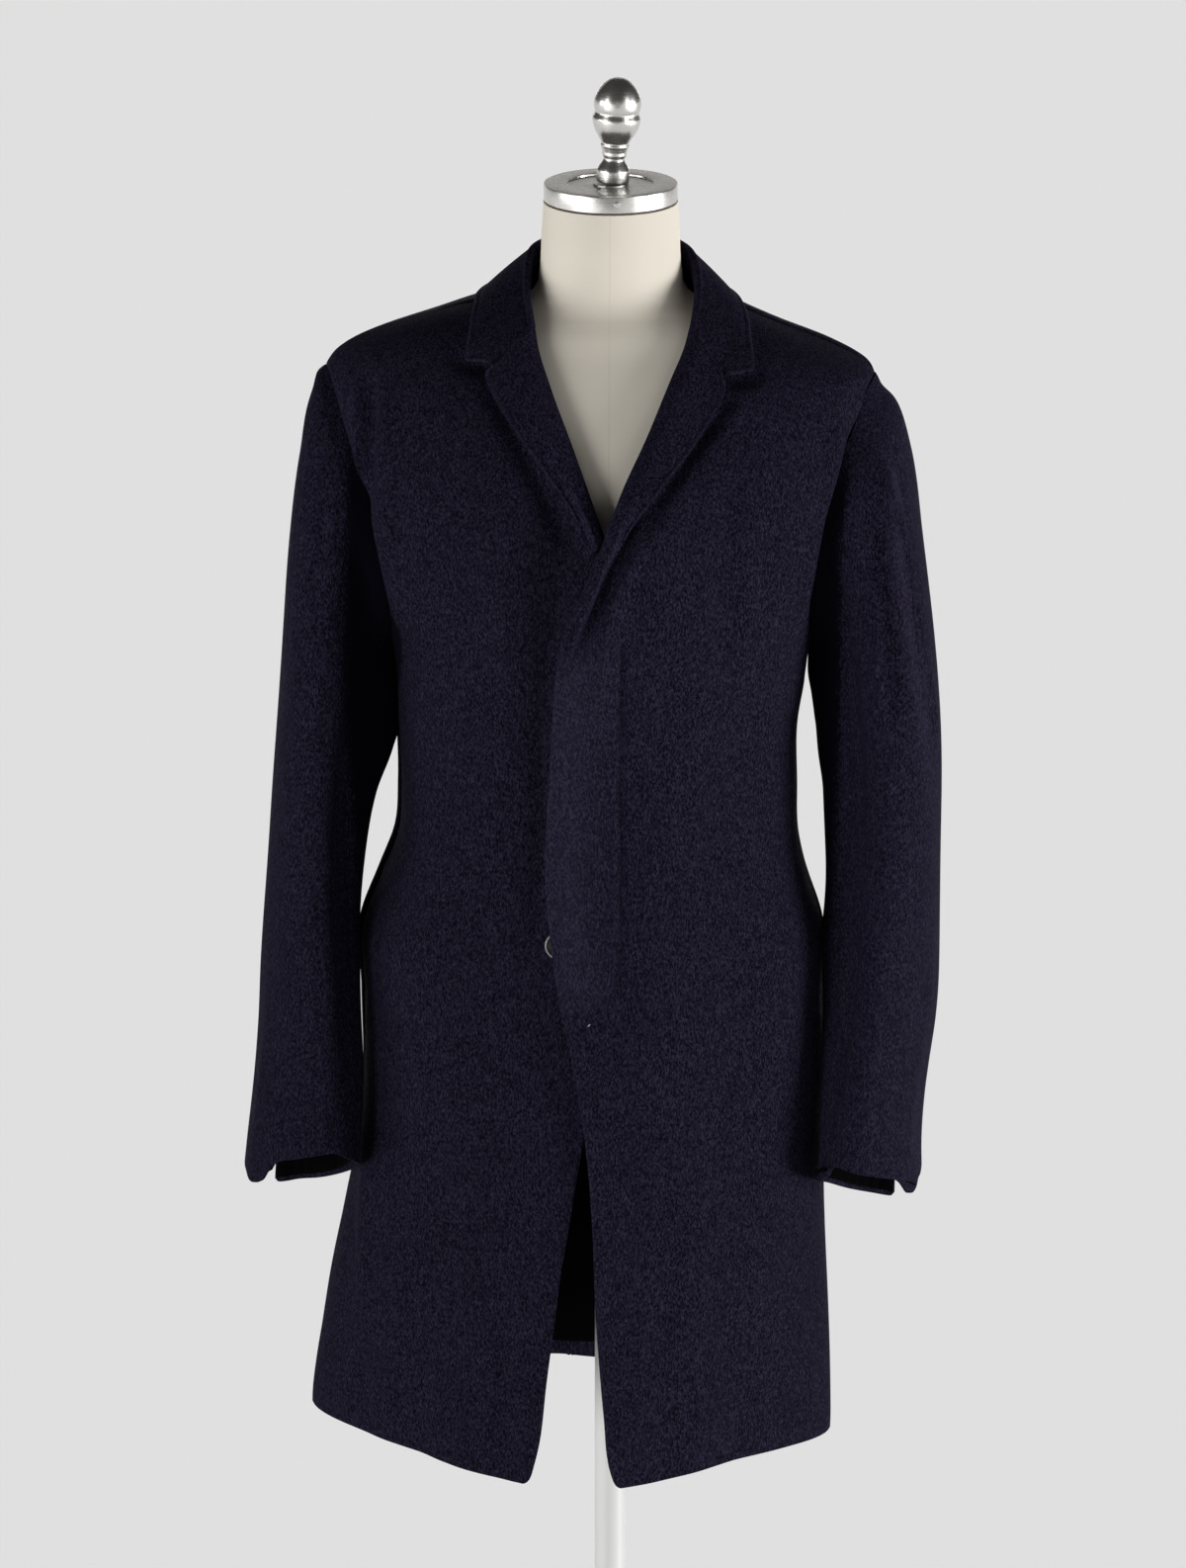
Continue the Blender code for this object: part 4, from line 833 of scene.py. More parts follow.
def panel_armhole(side, u, v, facing):
    """The armhole's relief on a front (facing 1) or a back (-1), fading away from it."""
    row = v * PANEL_ROWS
    degrees = 180 * facing * (1 - np.clip((row - LOW_ROWS) / ARM_ROWS, 0, 1))
    above = row - LOW_ROWS - ARM_ROWS
    ends = smooth(row, LOW_ROWS - 0.7, LOW_ROWS) * (1 - smooth(above, 0.5, 3))
    relief = armhole_relief(side, degrees)
    width = np.where(relief > 0, SWELL_WIDTH, VALLEY_WIDTH[side])
    dip = seam_dip((1 - u) * PANEL_WIDTH) * (1 - flush(side, degrees) * (1 - smooth(above, 0.1, 0.6)))
    return relief * bell((1 - u) * ARM_PANEL_WIDTH, width) * ends + dip


RIM_SWELL = (0.0025, 0.0022, 0.0004)         # the front edge's: how far in, width and rise
RIM_SWELL_END = (1.2, 1.25)  # heights over which it dies away
CURL = 0.0035                # how far the right front's edge turns in below the fly
CURL_WIDTH = 0.012
CURL_START, CURL_END = (0.57, 0.64), (0.70, 0.79)            # heights


def front_relief(side, turn, height, u, v):
    x = body_point(turn, height)[..., 0]
    relief = creased(FRONT_CREASES[side], x, height) + sway(x, height, side)
    relief = relief + panel_armhole(side, u, v, 1)
    relief = relief + bump_at(u * PANEL_WIDTH, *RIM_SWELL) * (1 - smooth(height, *RIM_SWELL_END))
    relief = relief + turned_hem(v * PANEL_LENGTH)
    if side > 0:
        return relief + stitch_line(x, height)
    return relief - CURL * np.exp(-u * PANEL_WIDTH / CURL_WIDTH) * between(height, CURL_START, CURL_END)


HEM_CORNER = {1: (0.018, 0.0045), -1: (0.022, 0.0055)}     # shares of the width and length it rounds off
# Painted light on the left front over the fly, strongest along a line inside its edge, and a painted
# highlight on the edge itself.
FLY_PAINTED_LIGHT = 0.14
LINE_PAINTED_LIGHT, LINE_IN, LINE_WIDTH = 0.86, 0.014, 0.022
FLY_LIGHT_END_X = (0.0050, 0.0110)            # at its stitches
FLY_LIGHT_START, FLY_LIGHT_END = (0.890, 0.925), (1.170, 1.250)
EDGE_HIGHLIGHT, EDGE_WIDTH, EDGE_HIGHLIGHT_END = 0.5, 0.0024, (1.180, 1.230)


def make_front(word):
    side = SIDES[word]

    def spot(u, v):
        u = u**EDGE_SPACING
        across, up = HEM_CORNER[side]
        v = v + (1 - v) * up * rounded_corner(u, across)
        return (*front_place(side, u, v), u, v)

    def place(u, v):
        turn, height, u, v = spot(u, v)
        return front_point(side, turn, height, front_relief(side, turn, height, u, v))

    def placket_light(u, v):
        """Painted light over the fly and a painted highlight along its edge."""
        turn, height, u, v = spot(u, v)
        x = body_point(turn, height)[..., 0]
        edge = LEFT_EDGE_AT(height)[0]
        across = FLY_PAINTED_LIGHT + LINE_PAINTED_LIGHT * bell(x - edge - LINE_IN, LINE_WIDTH)
        across = across * (1 - smooth(x, *FLY_LIGHT_END_X)) * between(height, FLY_LIGHT_START, FLY_LIGHT_END)
        return across + EDGE_HIGHLIGHT * bell(x - edge, EDGE_WIDTH) * (1 - smooth(height, *EDGE_HIGHLIGHT_END))

    # painted shade under the arm, and on the left front painted light over the fly and a painted highlight
    # on its edge
    def nap(u, v):
        front_shade = shaded_front(side, place)(u, v)
        return front_shade + placket_light(u, v) if side > 0 else front_shade

    columns = 140 if side > 0 else 96
    return lay(f"front_{word}_cloth", columns, 230, place, side, NAVY, painted_light_and_shade=nap)


def make_back(word):
    side = SIDES[word]

    def place(u, v):
        turn, height = back_place(side, u, v)
        x = body_point(turn, height)[..., 0]
        relief = creased(BACK_CREASES, x, height) + sway(x, height, 3)
        relief = relief + panel_armhole(side, u, v, -1) + seam_dip(u * PANEL_WIDTH)
        relief = relief + turned_hem(v * PANEL_LENGTH)
        return body_point(turn, height) + body_normal(turn, height) * relief[..., None]

    return lay(f"back_{word}_cloth", 84, 220, place, -side, NAVY)


# ---- two-piece sleeves ------------------------------------------------------------------------------
FOREARM_SEAM = (radians(140), radians(158))      # angle of the seam at the armhole and at the cuff
HIND_SEAM = (radians(-120), radians(-52))
VENT_LENGTH = 0.13           # share of the sleeve that is slit at the cuff
VENT_OPENING = 0.16          # half its opening at the hem, in radians
HEAD_ROWS = 1.2              # power that sets the rows closer together at the armhole
UNDER_VENT = 0.49            # how far the under sleeve's edge of the vent has swung back, in radians
Hem = namedtuple("Hem", "degrees longer")
CUFF_HEM = {  # round the cuff from its outer side: how much longer the sleeve is there, as a share
    -1: [
        Hem(-45, -0.062), Hem(-30, -0.052), Hem(-15, -0.038), Hem(-5, -0.026), Hem(5, -0.0088),
        Hem(15, 0.0078), Hem(24, 0.0153), Hem(33, 0.0168), Hem(41, 0.0135), Hem(47, 0.0010),
        Hem(52, -0.0075), Hem(60, -0.0116), Hem(75, -0.0125), Hem(110, -0.0194), Hem(130, -0.0160),
        Hem(158, -0.0120), Hem(200, -0.0095), Hem(240, -0.0072), Hem(262, -0.0082),
        Hem(274, -0.0052), Hem(282, -0.0060),
    ],
    1: [
        Hem(-45, -0.058), Hem(-30, -0.048), Hem(-15, -0.034), Hem(-5, -0.022), Hem(3, -0.0117),
        Hem(8, -0.0007), Hem(15, 0.0090), Hem(24, 0.0148), Hem(31, 0.0157), Hem(38, 0.0108),
        Hem(45, 0.0050), Hem(50, 0.0030), Hem(60, 0.0038), Hem(75, 0.0050), Hem(92, 0.0040),
        Hem(110, -0.0022), Hem(120, -0.0019), Hem(130, 0.0066), Hem(145, 0.0135), Hem(158, 0.0160),
        Hem(180, 0.0100), Hem(200, 0.0055), Hem(240, 0.0046), Hem(262, 0.0050), Hem(276, 0.0060),
        Hem(282, 0.0055),
    ],
}
CUFF_HEM_AT = {side: Curve(rows) for side, rows in CUFF_HEM.items()}
UNDER_CORNER = (0.040, 0.0060)               # its round corner at the vent: shares of width and length
HEAD_FADE = 0.014            # metres down the sleeve over which the armhole's relief dies away
CROWN_ROLL = {-1: 0.0046, 1: -0.0020}        # over the shoulder pad
CROWN_AT, CROWN_WIDTH = 0.014, 0.012         # metres down the sleeve
HEAD_SEAM = (0.0030, -0.0014)                # width and depth of the dip along its armhole
Fullness = namedtuple("Fullness", "way front fall inner outer")
FULLNESS = {  # metres outwards: the sleeve's front, its inner front, its inner side, its outer side
    -1: [
        Fullness(0.00, 0.000, 0.000, 0.0060, 0.0000), Fullness(0.05, 0.003, -0.014, 0.0100, 0.0000),
        Fullness(0.10, 0.004, -0.020, 0.0095, 0.0000), Fullness(0.16, 0.004, -0.022, 0.0058, 0.0000),
        Fullness(0.22, 0.004, -0.022, 0.0010, 0.0000), Fullness(0.35, 0.004, -0.019, 0.0000, 0.0000),
        Fullness(0.55, 0.003, -0.013, 0.0000, 0.0000), Fullness(0.68, 0.003, -0.012, 0.0000, -0.0006),
        Fullness(0.76, 0.003, -0.012, 0.0000, -0.0030), Fullness(0.94, 0.003, -0.009, 0.0000, -0.0030),
        Fullness(1.00, 0.002, -0.006, 0.0000, -0.0018),
    ],
    1: [
        Fullness(0.00, 0.000, 0.000, 0.0020, 0.0000), Fullness(0.05, 0.003, -0.014, 0.0054, 0.0004),
        Fullness(0.08, 0.004, -0.019, 0.0046, 0.0008), Fullness(0.11, 0.004, -0.021, 0.0002, 0.0016),
        Fullness(0.16, 0.004, -0.022, -0.0022, 0.0024), Fullness(0.22, 0.004, -0.022, -0.0012, 0.0024),
        Fullness(0.35, 0.004, -0.019, 0.0000, 0.0020), Fullness(0.55, 0.003, -0.013, 0.0010, 0.0000),
        Fullness(0.62, 0.003, -0.013, 0.0056, 0.0000), Fullness(0.76, 0.003, -0.013, 0.0066, 0.0000),
        Fullness(0.86, 0.003, -0.012, 0.0034, -0.0036), Fullness(0.93, 0.003, -0.009, 0.0000, -0.0036),
        Fullness(1.00, 0.002, -0.006, 0.0000, -0.0012),
    ],
}
FULLNESS_AT = {side: Curve(rows) for side, rows in FULLNESS.items()}
# Where each column acts, in degrees round the sleeve from its outer side.
FRONT_START, FRONT_END = (15, 60), (78, 112)
FALL_START, FALL_END = (84, 122), (138, 174)
INNER_AT, INNER_SPREAD = 180, 26
OUTER_AT, OUTER_SPREAD = -8, 36


def round_cuff(angle):
    """The same angle in degrees, from just before the vent on round to it again."""
    return (np.degrees(angle) + 60) % 360 - 60


def cuff_hem(side, angle):
    """How far down the sleeve its hem is at an angle round the cuff."""
    return 1 + CUFF_HEM_AT[side](round_cuff(angle))[0]


def seam_angle(seam, way):
    return seam[0] + (seam[1] - seam[0]) * smooth(way, 0.0, 0.9)


def vent(way):
    return VENT_OPENING * smooth(way, 1 - VENT_LENGTH, 1.0)


def under_vent(way):
    return UNDER_VENT * smooth(way, 1 - VENT_LENGTH, 0.95)


def sleeve_shape(side, way, angle):
    """How a hanging sleeve differs from an even tube, in metres outwards."""
    front, fall, inner, outer = FULLNESS_AT[side](way)
    degrees = round_cuff(angle)
    return front * between(degrees, FRONT_START, FRONT_END) \
        + fall * between(degrees, FALL_START, FALL_END) \
        + inner * bell(degrees - INNER_AT, INNER_SPREAD) + outer * bell(degrees - OUTER_AT, OUTER_SPREAD)


def sleeve_relief(side, way, angle, from_seam):
    across, down = angle * SLEEVE_GIRTH, way * SLEEVE_LENGTH
    relief = creased(SLEEVE_CREASES[side], across, down) + 0.8 * sway(across, down, 5 * side)
    crown = np.clip(np.cos(angle), 0, 1)
    relief = relief + bump_at(down, CROWN_AT, CROWN_WIDTH, CROWN_ROLL[side]) * crown**2
    relief = relief + bump_at(down, 0.0, *HEAD_SEAM) * (1 - flush(side, np.degrees(angle)))
    relief = relief + seam_dip(from_seam)
    return relief + sleeve_shape(side, way, angle)


def sleeve_face(side, way, angle, from_seam):
    """A point on a sleeve; past the end of its last ring it goes straight on."""
    relief = sleeve_relief(side, way, angle, from_seam)
    inside = np.minimum(way, 1.0)
    end, step = np.ones_like(way), 0.01
    onward = (sleeve_point(side, end, angle) - sleeve_point(side, end - step, angle)) / step
    point = sleeve_point(side, inside, angle) + onward * (way - inside)[..., None]
    turn, height = armhole_turn_height(side, angle)
    round_arm = (np.degrees(angle) + 180) % 360 - 180
    seam = armhole_relief(side, round_arm) * bell(way * SLEEVE_LENGTH, HEAD_FADE)
    return point + sleeve_normal(side, inside, angle) * relief[..., None] \
        + body_normal(turn, height) * seam[..., None]


ArmShade = namedtuple("ArmShade", "height dark plain front")
ARM_SHADE_TABLE = {  # painted shade between arm and body; from the middle: where a sleeve is painted darkest, and where it and a front are plain
    -1: [ArmShade(0.980, 0.1980, 0.2080, 0.1900), ArmShade(1.060, 0.1990, 0.2140, 0.1900),
         ArmShade(1.119, 0.2010, 0.2200, 0.1760), ArmShade(1.168, 0.1970, 0.2230, 0.1690),
         ArmShade(1.192, 0.1975, 0.2230, 0.1690), ArmShade(1.217, 0.1980, 0.2225, 0.1810),
         ArmShade(1.265, 0.1985, 0.2200, 0.1900), ArmShade(1.314, 0.2030, 0.2142, 0.1980),
         ArmShade(1.360, 0.2060, 0.2110, 0.2000)],
    1: [ArmShade(0.980, 0.1720, 0.1860, 0.1900), ArmShade(1.060, 0.1740, 0.1890, 0.1800),
        ArmShade(1.119, 0.1760, 0.1905, 0.1700), ArmShade(1.168, 0.1750, 0.1905, 0.1600),
        ArmShade(1.217, 0.1750, 0.1905, 0.1600), ArmShade(1.265, 0.1755, 0.1900, 0.1690),
        ArmShade(1.314, 0.1840, 0.1925, 0.1850), ArmShade(1.360, 0.1900, 0.1940, 0.1900)],
}
ARM_SHADE_AT = {side: Curve(rows) for side, rows in ARM_SHADE_TABLE.items()}
ARM_SHADE = 4.2                    # how dark the painted shade is where the sleeve meets the body
ARM_SHADE_POWER = 1.7              # how soon that painted shade fades towards the plain nap
ARM_SHADE_START, ARM_SHADE_END = (0.930, 1.090), (1.285, 1.352)      # heights
ARM_SHADE_BEHIND = (0.00, 0.05)    # y at which it fades out behind the arm
FRONT_ARM_SHADE = (-0.004, 0.003)  # a front's painted shade grows over this, measured from the table's distance
LEFT_SLEEVE_LIGHT = 0.30      # painted light: how much paler the left sleeve, on the more strongly lit side, is than the rest
# painted highlight along the left sleeve's long ridge (heights and x), and painted shade in the valley
# beside it
RIDGE_HIGHLIGHT_PATH = ((0.955, 1.060, 1.130, 1.200, 1.262, 1.320),        # heights
              (0.2560, 0.2555, 0.2480, 0.2370, 0.2290, 0.2240))  # x
RIDGE_HIGHLIGHT, RIDGE_WIDTH = 0.85, 0.0048
VALLEY_SHADE, VALLEY_IN, VALLEY_SPREAD = 0.45, 0.0170, 0.0120
RIDGE_START, RIDGE_END = (1.020, 1.130), (1.300, 1.345)      # heights
RIDGE_BEHIND = (-0.02, 0.02)                 # y at which they fade out round the sleeve


def arm_shade_band(height):
    """How strong the painted shade between arm and body is, up the coat."""
    return between(height, ARM_SHADE_START, ARM_SHADE_END)


def shaded_sleeve(side, place):
    """A sleeve's painted light and shade: painted shade inside the arm where it meets the body; on the left
    one, painted light overall and a painted highlight along its long ridge.
    """
    def nap(u, v):
        x, y, z = np.moveaxis(place(u, v), -1, 0)
        dark, plain = ARM_SHADE_AT[side](z)[:2]
        # painted shade where the sleeve meets the body
        shade_here = (1 - smooth(np.abs(x), dark, plain)) ** ARM_SHADE_POWER * arm_shade_band(z) * (1 - smooth(y, *ARM_SHADE_BEHIND))
        if side < 0:
            return -ARM_SHADE * shade_here
        from_ridge = x - np.interp(z, *RIDGE_HIGHLIGHT_PATH)
        in_front = 1 - smooth(y, *RIDGE_BEHIND)
        ridge = bell(from_ridge, RIDGE_WIDTH) * in_front
        valley = bell(from_ridge + VALLEY_IN, VALLEY_SPREAD) * in_front
        # painted highlight on the ridge, painted shade in the valley
        ridge_light_and_shade = (RIDGE_HIGHLIGHT * ridge - VALLEY_SHADE * valley) * between(z, RIDGE_START, RIDGE_END)
        return LEFT_SLEEVE_LIGHT - ARM_SHADE * shade_here + ridge_light_and_shade
    return nap


def shaded_front(side, place):
    """A front's painted shade along its side under the arm."""
    def nap(u, v):
        x, _, z = np.moveaxis(place(u, v), -1, 0)
        plain = ARM_SHADE_AT[side](z)[2]
        return -ARM_SHADE * smooth(np.abs(x), plain + FRONT_ARM_SHADE[0], plain + FRONT_ARM_SHADE[1]) * arm_shade_band(z)
    return nap


def make_sleeve(word):
    side = SIDES[word]

    def top(u, v):
        angle = HIND_SEAM[1] + VENT_OPENING + (FOREARM_SEAM[1] - HIND_SEAM[1] - VENT_OPENING) * u
        way = v**HEAD_ROWS * cuff_hem(side, angle)
        back = seam_angle(HIND_SEAM, way) + vent(way)
        front = seam_angle(FOREARM_SEAM, way)
        from_seam = np.minimum(u, 1 - u) * (front - back) * SLEEVE_GIRTH
        return sleeve_face(side, way, back + (front - back) * u, from_seam)

    def under(u, v):
        angle = FOREARM_SEAM[1] + (HIND_SEAM[1] + 2 * pi - UNDER_VENT - FOREARM_SEAM[1]) * u
        corner = UNDER_CORNER[1] * rounded_corner(1 - u, UNDER_CORNER[0])
        way = v**HEAD_ROWS * (cuff_hem(side, angle) - corner)
        front = seam_angle(FOREARM_SEAM, way)
        back = seam_angle(HIND_SEAM, way) + 2 * pi - under_vent(way)
        from_seam = np.minimum(u, 1 - u) * (back - front) * SLEEVE_GIRTH
        return sleeve_face(side, way, front + (back - front) * u, from_seam)

    return [lay(f"top_sleeve_{word}_cloth", 110, 190, top, side, NAVY, painted_light_and_shade=shaded_sleeve(side, top)),
            lay(f"under_sleeve_{word}_cloth", 46, 180, under, side, NAVY,
                painted_light_and_shade=shaded_sleeve(side, under))]


# ---- lapels: the facing turned back over the front --------------------------------------------------
Lapel = namedtuple("Lapel", "way roll_z edge_x edge_z")
LAPEL = {  # from the bottom of the V, or the rolled front edge below it, up to the collar seam
    -1: [Lapel(0.00, 1.284, -0.0160, 1.2730), Lapel(0.20, 1.316, -0.0310, 1.3060),
         Lapel(0.45, 1.356, -0.0610, 1.3460), Lapel(0.72, 1.397, -0.0905, 1.3880),
         Lapel(0.86, 1.419, -0.0975, 1.4030), Lapel(1.00, 1.441, -0.0925, 1.4115)],
    1: [Lapel(-0.16, 1.172, -0.0345, 1.1680), Lapel(0.00, 1.205, -0.0262, 1.1965),
        Lapel(0.14, 1.228, -0.0165, 1.2235), Lapel(0.28, 1.258, -0.0025, 1.2570),
        Lapel(0.40, 1.286, 0.0110, 1.2860),
        Lapel(0.58, 1.330, 0.0400, 1.3230), Lapel(0.76, 1.378, 0.0730, 1.3650),
        Lapel(0.90, 1.415, 0.0890, 1.3930), Lapel(1.00, 1.441, 0.0855, 1.4080)],
}
LAPEL_AT = {side: Curve(rows) for side, rows in LAPEL.items()}
Fold = namedtuple("Fold", "way distance height")
LAPEL_FOLD = [  # the facing's outer face across the fold, from where the front panel ends
    Fold(0.00, 0.0074, -0.0026), Fold(0.11, 0.0022, -0.0022), Fold(0.22, -0.0016, 0.0014),
    Fold(0.33, 0.0012, 0.0060), Fold(0.45, 0.0080, 0.0090),
]
FOLD_AT = Curve(LAPEL_FOLD)
LAPEL_REST = {  # outer face of the lapel's edge above the front, up the lapel: it sinks into a crease
    -1: ((0.0, 0.15, 0.36, 0.8, 1.0), (-0.0008, 0.0022, 0.0070, 0.0082, 0.0070)),
    1: ((-0.16, 0.00, 0.14, 0.28, 0.36, 0.46, 0.56, 0.85, 1.0),
        (-0.0012, -0.0018, -0.0048, -0.0066, -0.0020, 0.0052, 0.0082, 0.0082, 0.0070)),
}
LAPEL_SWELL = 0.0090         # height of the lapel just outside its fold
FOLD_END = LAPEL_FOLD[-1].way
FULL_WIDTH, SMALLEST = 0.018, 0.6            # a narrower lapel has a smaller fold, down to this share
TAPER = (-0.16, 0.02)        # up the left lapel: over this it grows out of the front's own edge
TAPER_SINK = 0.0012          # how far under the front it lies where it starts
TAPER_START, TAPER_SPREAD = 0.0016, 0.0058   # and how far across: its hidden end, and its width


def roll_x(side, height):
    """Fold line of a front: its lapel's roll above, its own edge below the V."""
    roll = ROLL_AT[side](height)[0]
    if side < 0:
        return roll
    blend = smooth(height, *V_BLEND)
    return LEFT_EDGE_AT(height)[0] * (1 - blend) + roll * blend


def lapel_point(side, u, v):
    """u across, from the hidden joint over the fold to the outer edge; v up the fold line."""
    roll_z, edge_x, edge_z = LAPEL_AT[side](v)
    roll = roll_x(side, roll_z)
    across, rise = edge_x - roll, edge_z - roll_z
    width = np.hypot(across, rise)
    small = np.clip(width / FULL_WIDTH, SMALLEST, 1.0)
    distance, height = FOLD_AT(np.minimum(u, FOLD_END))
    distance = distance * small
    flat = np.clip((u - FOLD_END) / (1 - FOLD_END), 0, 1)
    start = LAPEL_FOLD[-1].distance * small
    distance = np.where(u > FOLD_END, start + (width - start) * flat, distance)
    rest = np.interp(v, *LAPEL_REST[side])
    settle = LAPEL_SWELL + (rest - LAPEL_SWELL) * smooth(flat, 0.0, np.where(rest < 0, 1.0, 0.75))
    height = np.where(u > FOLD_END, settle, height)
    if side > 0:
        whole = smooth(v, *TAPER)
        height = height * whole - TAPER_SINK * (1 - whole)
        distance = distance * whole + (TAPER_START + TAPER_SPREAD * u) * (1 - whole)
    x = roll + across / width * distance
    z = roll_z + rise / width * distance
    return front_point(side, turn_of_x(x, z), z, height)


LAPEL_FOLD_COLUMNS = 0.28    # share of a lapel's columns spent on its fold
LAPEL_COLUMNS, LAPEL_ROWS = 1.5, 0.90        # powers: columns crowd to the edge, rows to the collar
LAPEL_RISE = {-1: 0.190, 1: 0.270}           # length of each lapel
SEAM_SHARE = 0.35            # how much of a seam's dip shows where lapel and collar meet
RIM_HIGHLIGHT, RIM_WIDTH = 1.05, 0.0036           # painted highlight along the edges of lapels and collar, and its width


def make_lapel(word):
    side = SIDES[word]
    low, high = LAPEL[side][0].way, LAPEL[side][-1].way

    def spot(u, v):
        """Shares of the lapel's surface, and metres from its outer and its upper edge."""
        flat = np.clip((u - LAPEL_FOLD_COLUMNS) / (1 - LAPEL_FOLD_COLUMNS), 0, 1)
        fold = np.clip(u / LAPEL_FOLD_COLUMNS, 0, 1)
        u = FOLD_END * fold + (1 - FOLD_END) * (1 - (1 - flat)**LAPEL_COLUMNS)
        v = low + (high - low) * v**LAPEL_ROWS
        roll_z, edge_x, edge_z = LAPEL_AT[side](v)
        width = np.hypot(edge_x - roll_x(side, roll_z), edge_z - roll_z)
        return u, v, (1 - u) / (1 - FOLD_END) * width, (high - v) * LAPEL_RISE[side]

    def free(v):
        """1 where the lapel's edge stands clear of the front."""
        return smooth(np.interp(v, *LAPEL_REST[side]), 0.0, 0.004)

    def place(u, v):
        u, v, from_edge, from_top = spot(u, v)
        flat_point = lapel_point(side, u, v)
        relief = 0.6 * sway(flat_point[..., 0], flat_point[..., 2], 7 * side) * smooth(u, 0.3, 0.6)
        relief = relief * smooth(from_edge, 0.0, 0.0020) + stitched_edge(from_edge) * free(v)
        relief = relief + SEAM_SHARE * seam_dip(from_top)
        normal = normal_of(lambda a, b: lapel_point(side, a, b), u, v, 2e-3, side)
        return flat_point + normal * (relief * smooth(u, 0.0, 0.25))[..., None]

    # painted highlight along the lapel's free edge
    def rim_highlight(u, v):
        _, v, from_edge, _ = spot(u, v)
        return RIM_HIGHLIGHT * bell(from_edge, RIM_WIDTH) * free(v)

    return lay(f"lapel_{word}_cloth", 76, 170, place, side, NAVY, PRESSED, painted_light_and_shade=rim_highlight)


# ---- collar -----------------------------------------------------------------------------------------
Neck = namedtuple("Neck", "way fold_x fold_y fold_z turn height drop")
COLLAR = {  # half of it, from the lapel's seam to the middle of the back; turn and height: outer edge
    -1: [
        Neck(0.00, 0.0615, -0.0640, 1.4415, 28.2, 1.4126, 0.0060),
        Neck(0.06, 0.0634, -0.0545, 1.4504, 30.3, 1.4196, 0.0075),
        Neck(0.12, 0.0650, -0.0450, 1.4590, 34.1, 1.4274, 0.0090),
        Neck(0.19, 0.0661, -0.0336, 1.4685, 42.8, 1.4379, 0.0111),
        Neck(0.26, 0.0665, -0.0220, 1.4770, 57.2, 1.4469, 0.0130),
        Neck(0.34, 0.0660, -0.0080, 1.4853, 73.5, 1.4510, 0.0143),
        Neck(0.42, 0.0640, 0.0060, 1.4915, 90.0, 1.4528, 0.0150),
        Neck(0.62, 0.0500, 0.0390, 1.4960, 126.0, 1.4540, 0.0150),
        Neck(0.82, 0.0270, 0.0630, 1.4980, 156.0, 1.4545, 0.0150),
        Neck(1.00, 0.0000, 0.0690, 1.4985, 180.0, 1.4540, 0.0150),
    ],
    1: [
        Neck(0.00, 0.0640, -0.0640, 1.4415, 32.0, 1.4048, 0.0060),
        Neck(0.06, 0.0662, -0.0545, 1.4504, 35.7, 1.4130, 0.0075),
        Neck(0.12, 0.0680, -0.0450, 1.4590, 41.5, 1.4218, 0.0090),
        Neck(0.19, 0.0690, -0.0336, 1.4683, 52.0, 1.4322, 0.0111),
        Neck(0.26, 0.0690, -0.0220, 1.4765, 64.5, 1.4408, 0.0130),
        Neck(0.34, 0.0678, -0.0080, 1.4842, 77.0, 1.4464, 0.0143),
        Neck(0.42, 0.0650, 0.0060, 1.4900, 90.0, 1.4490, 0.0150),
        Neck(0.62, 0.0505, 0.0390, 1.4955, 126.0, 1.4525, 0.0150),
        Neck(0.82, 0.0275, 0.0630, 1.4980, 156.0, 1.4542, 0.0150),
        Neck(1.00, 0.0000, 0.0690, 1.4985, 180.0, 1.4540, 0.0150),
    ],
}
COLLAR_AT = {side: Curve(rows) for side, rows in COLLAR.items()}
NOTCH_SHARE = 0.60           # where the collar seam leaves its bottom edge
NOTCH_DROP = {-1: 0.0118, 1: 0.0165}         # how far down the point of the notch is drawn
NOTCH_IN = {-1: 0.13, 1: 0.36}               # how much of the same it moves towards the middle
CHEST_SLOPE = 0.55           # and how much of it forwards, down the chest
NOTCH_WAY = 0.16             # share of the half collar that this reaches
COLLAR_REST = (0.0086, 0.0054)               # its edge above the coat: at its ends, and behind them
REST_WAY = (0.05, 0.17)      # from the one to the other
COLLAR_TURN = 0.0034         # half the thickness of the folded collar
COLLAR_CENTRE_Y = 0.004      # the fold's outer side faces away from here
COLLAR_CROWN = 0.0012        # how much the fall is rounded
FALL, ROUND = 0.585, 0.885   # shares of the cross-section: up the fall, over the fold, down inside
UP = np.array([0.0, 0.0, 1.0])
COLLAR_START = (0.002, 0.016)                # where its end begins: outside, and inside the fold


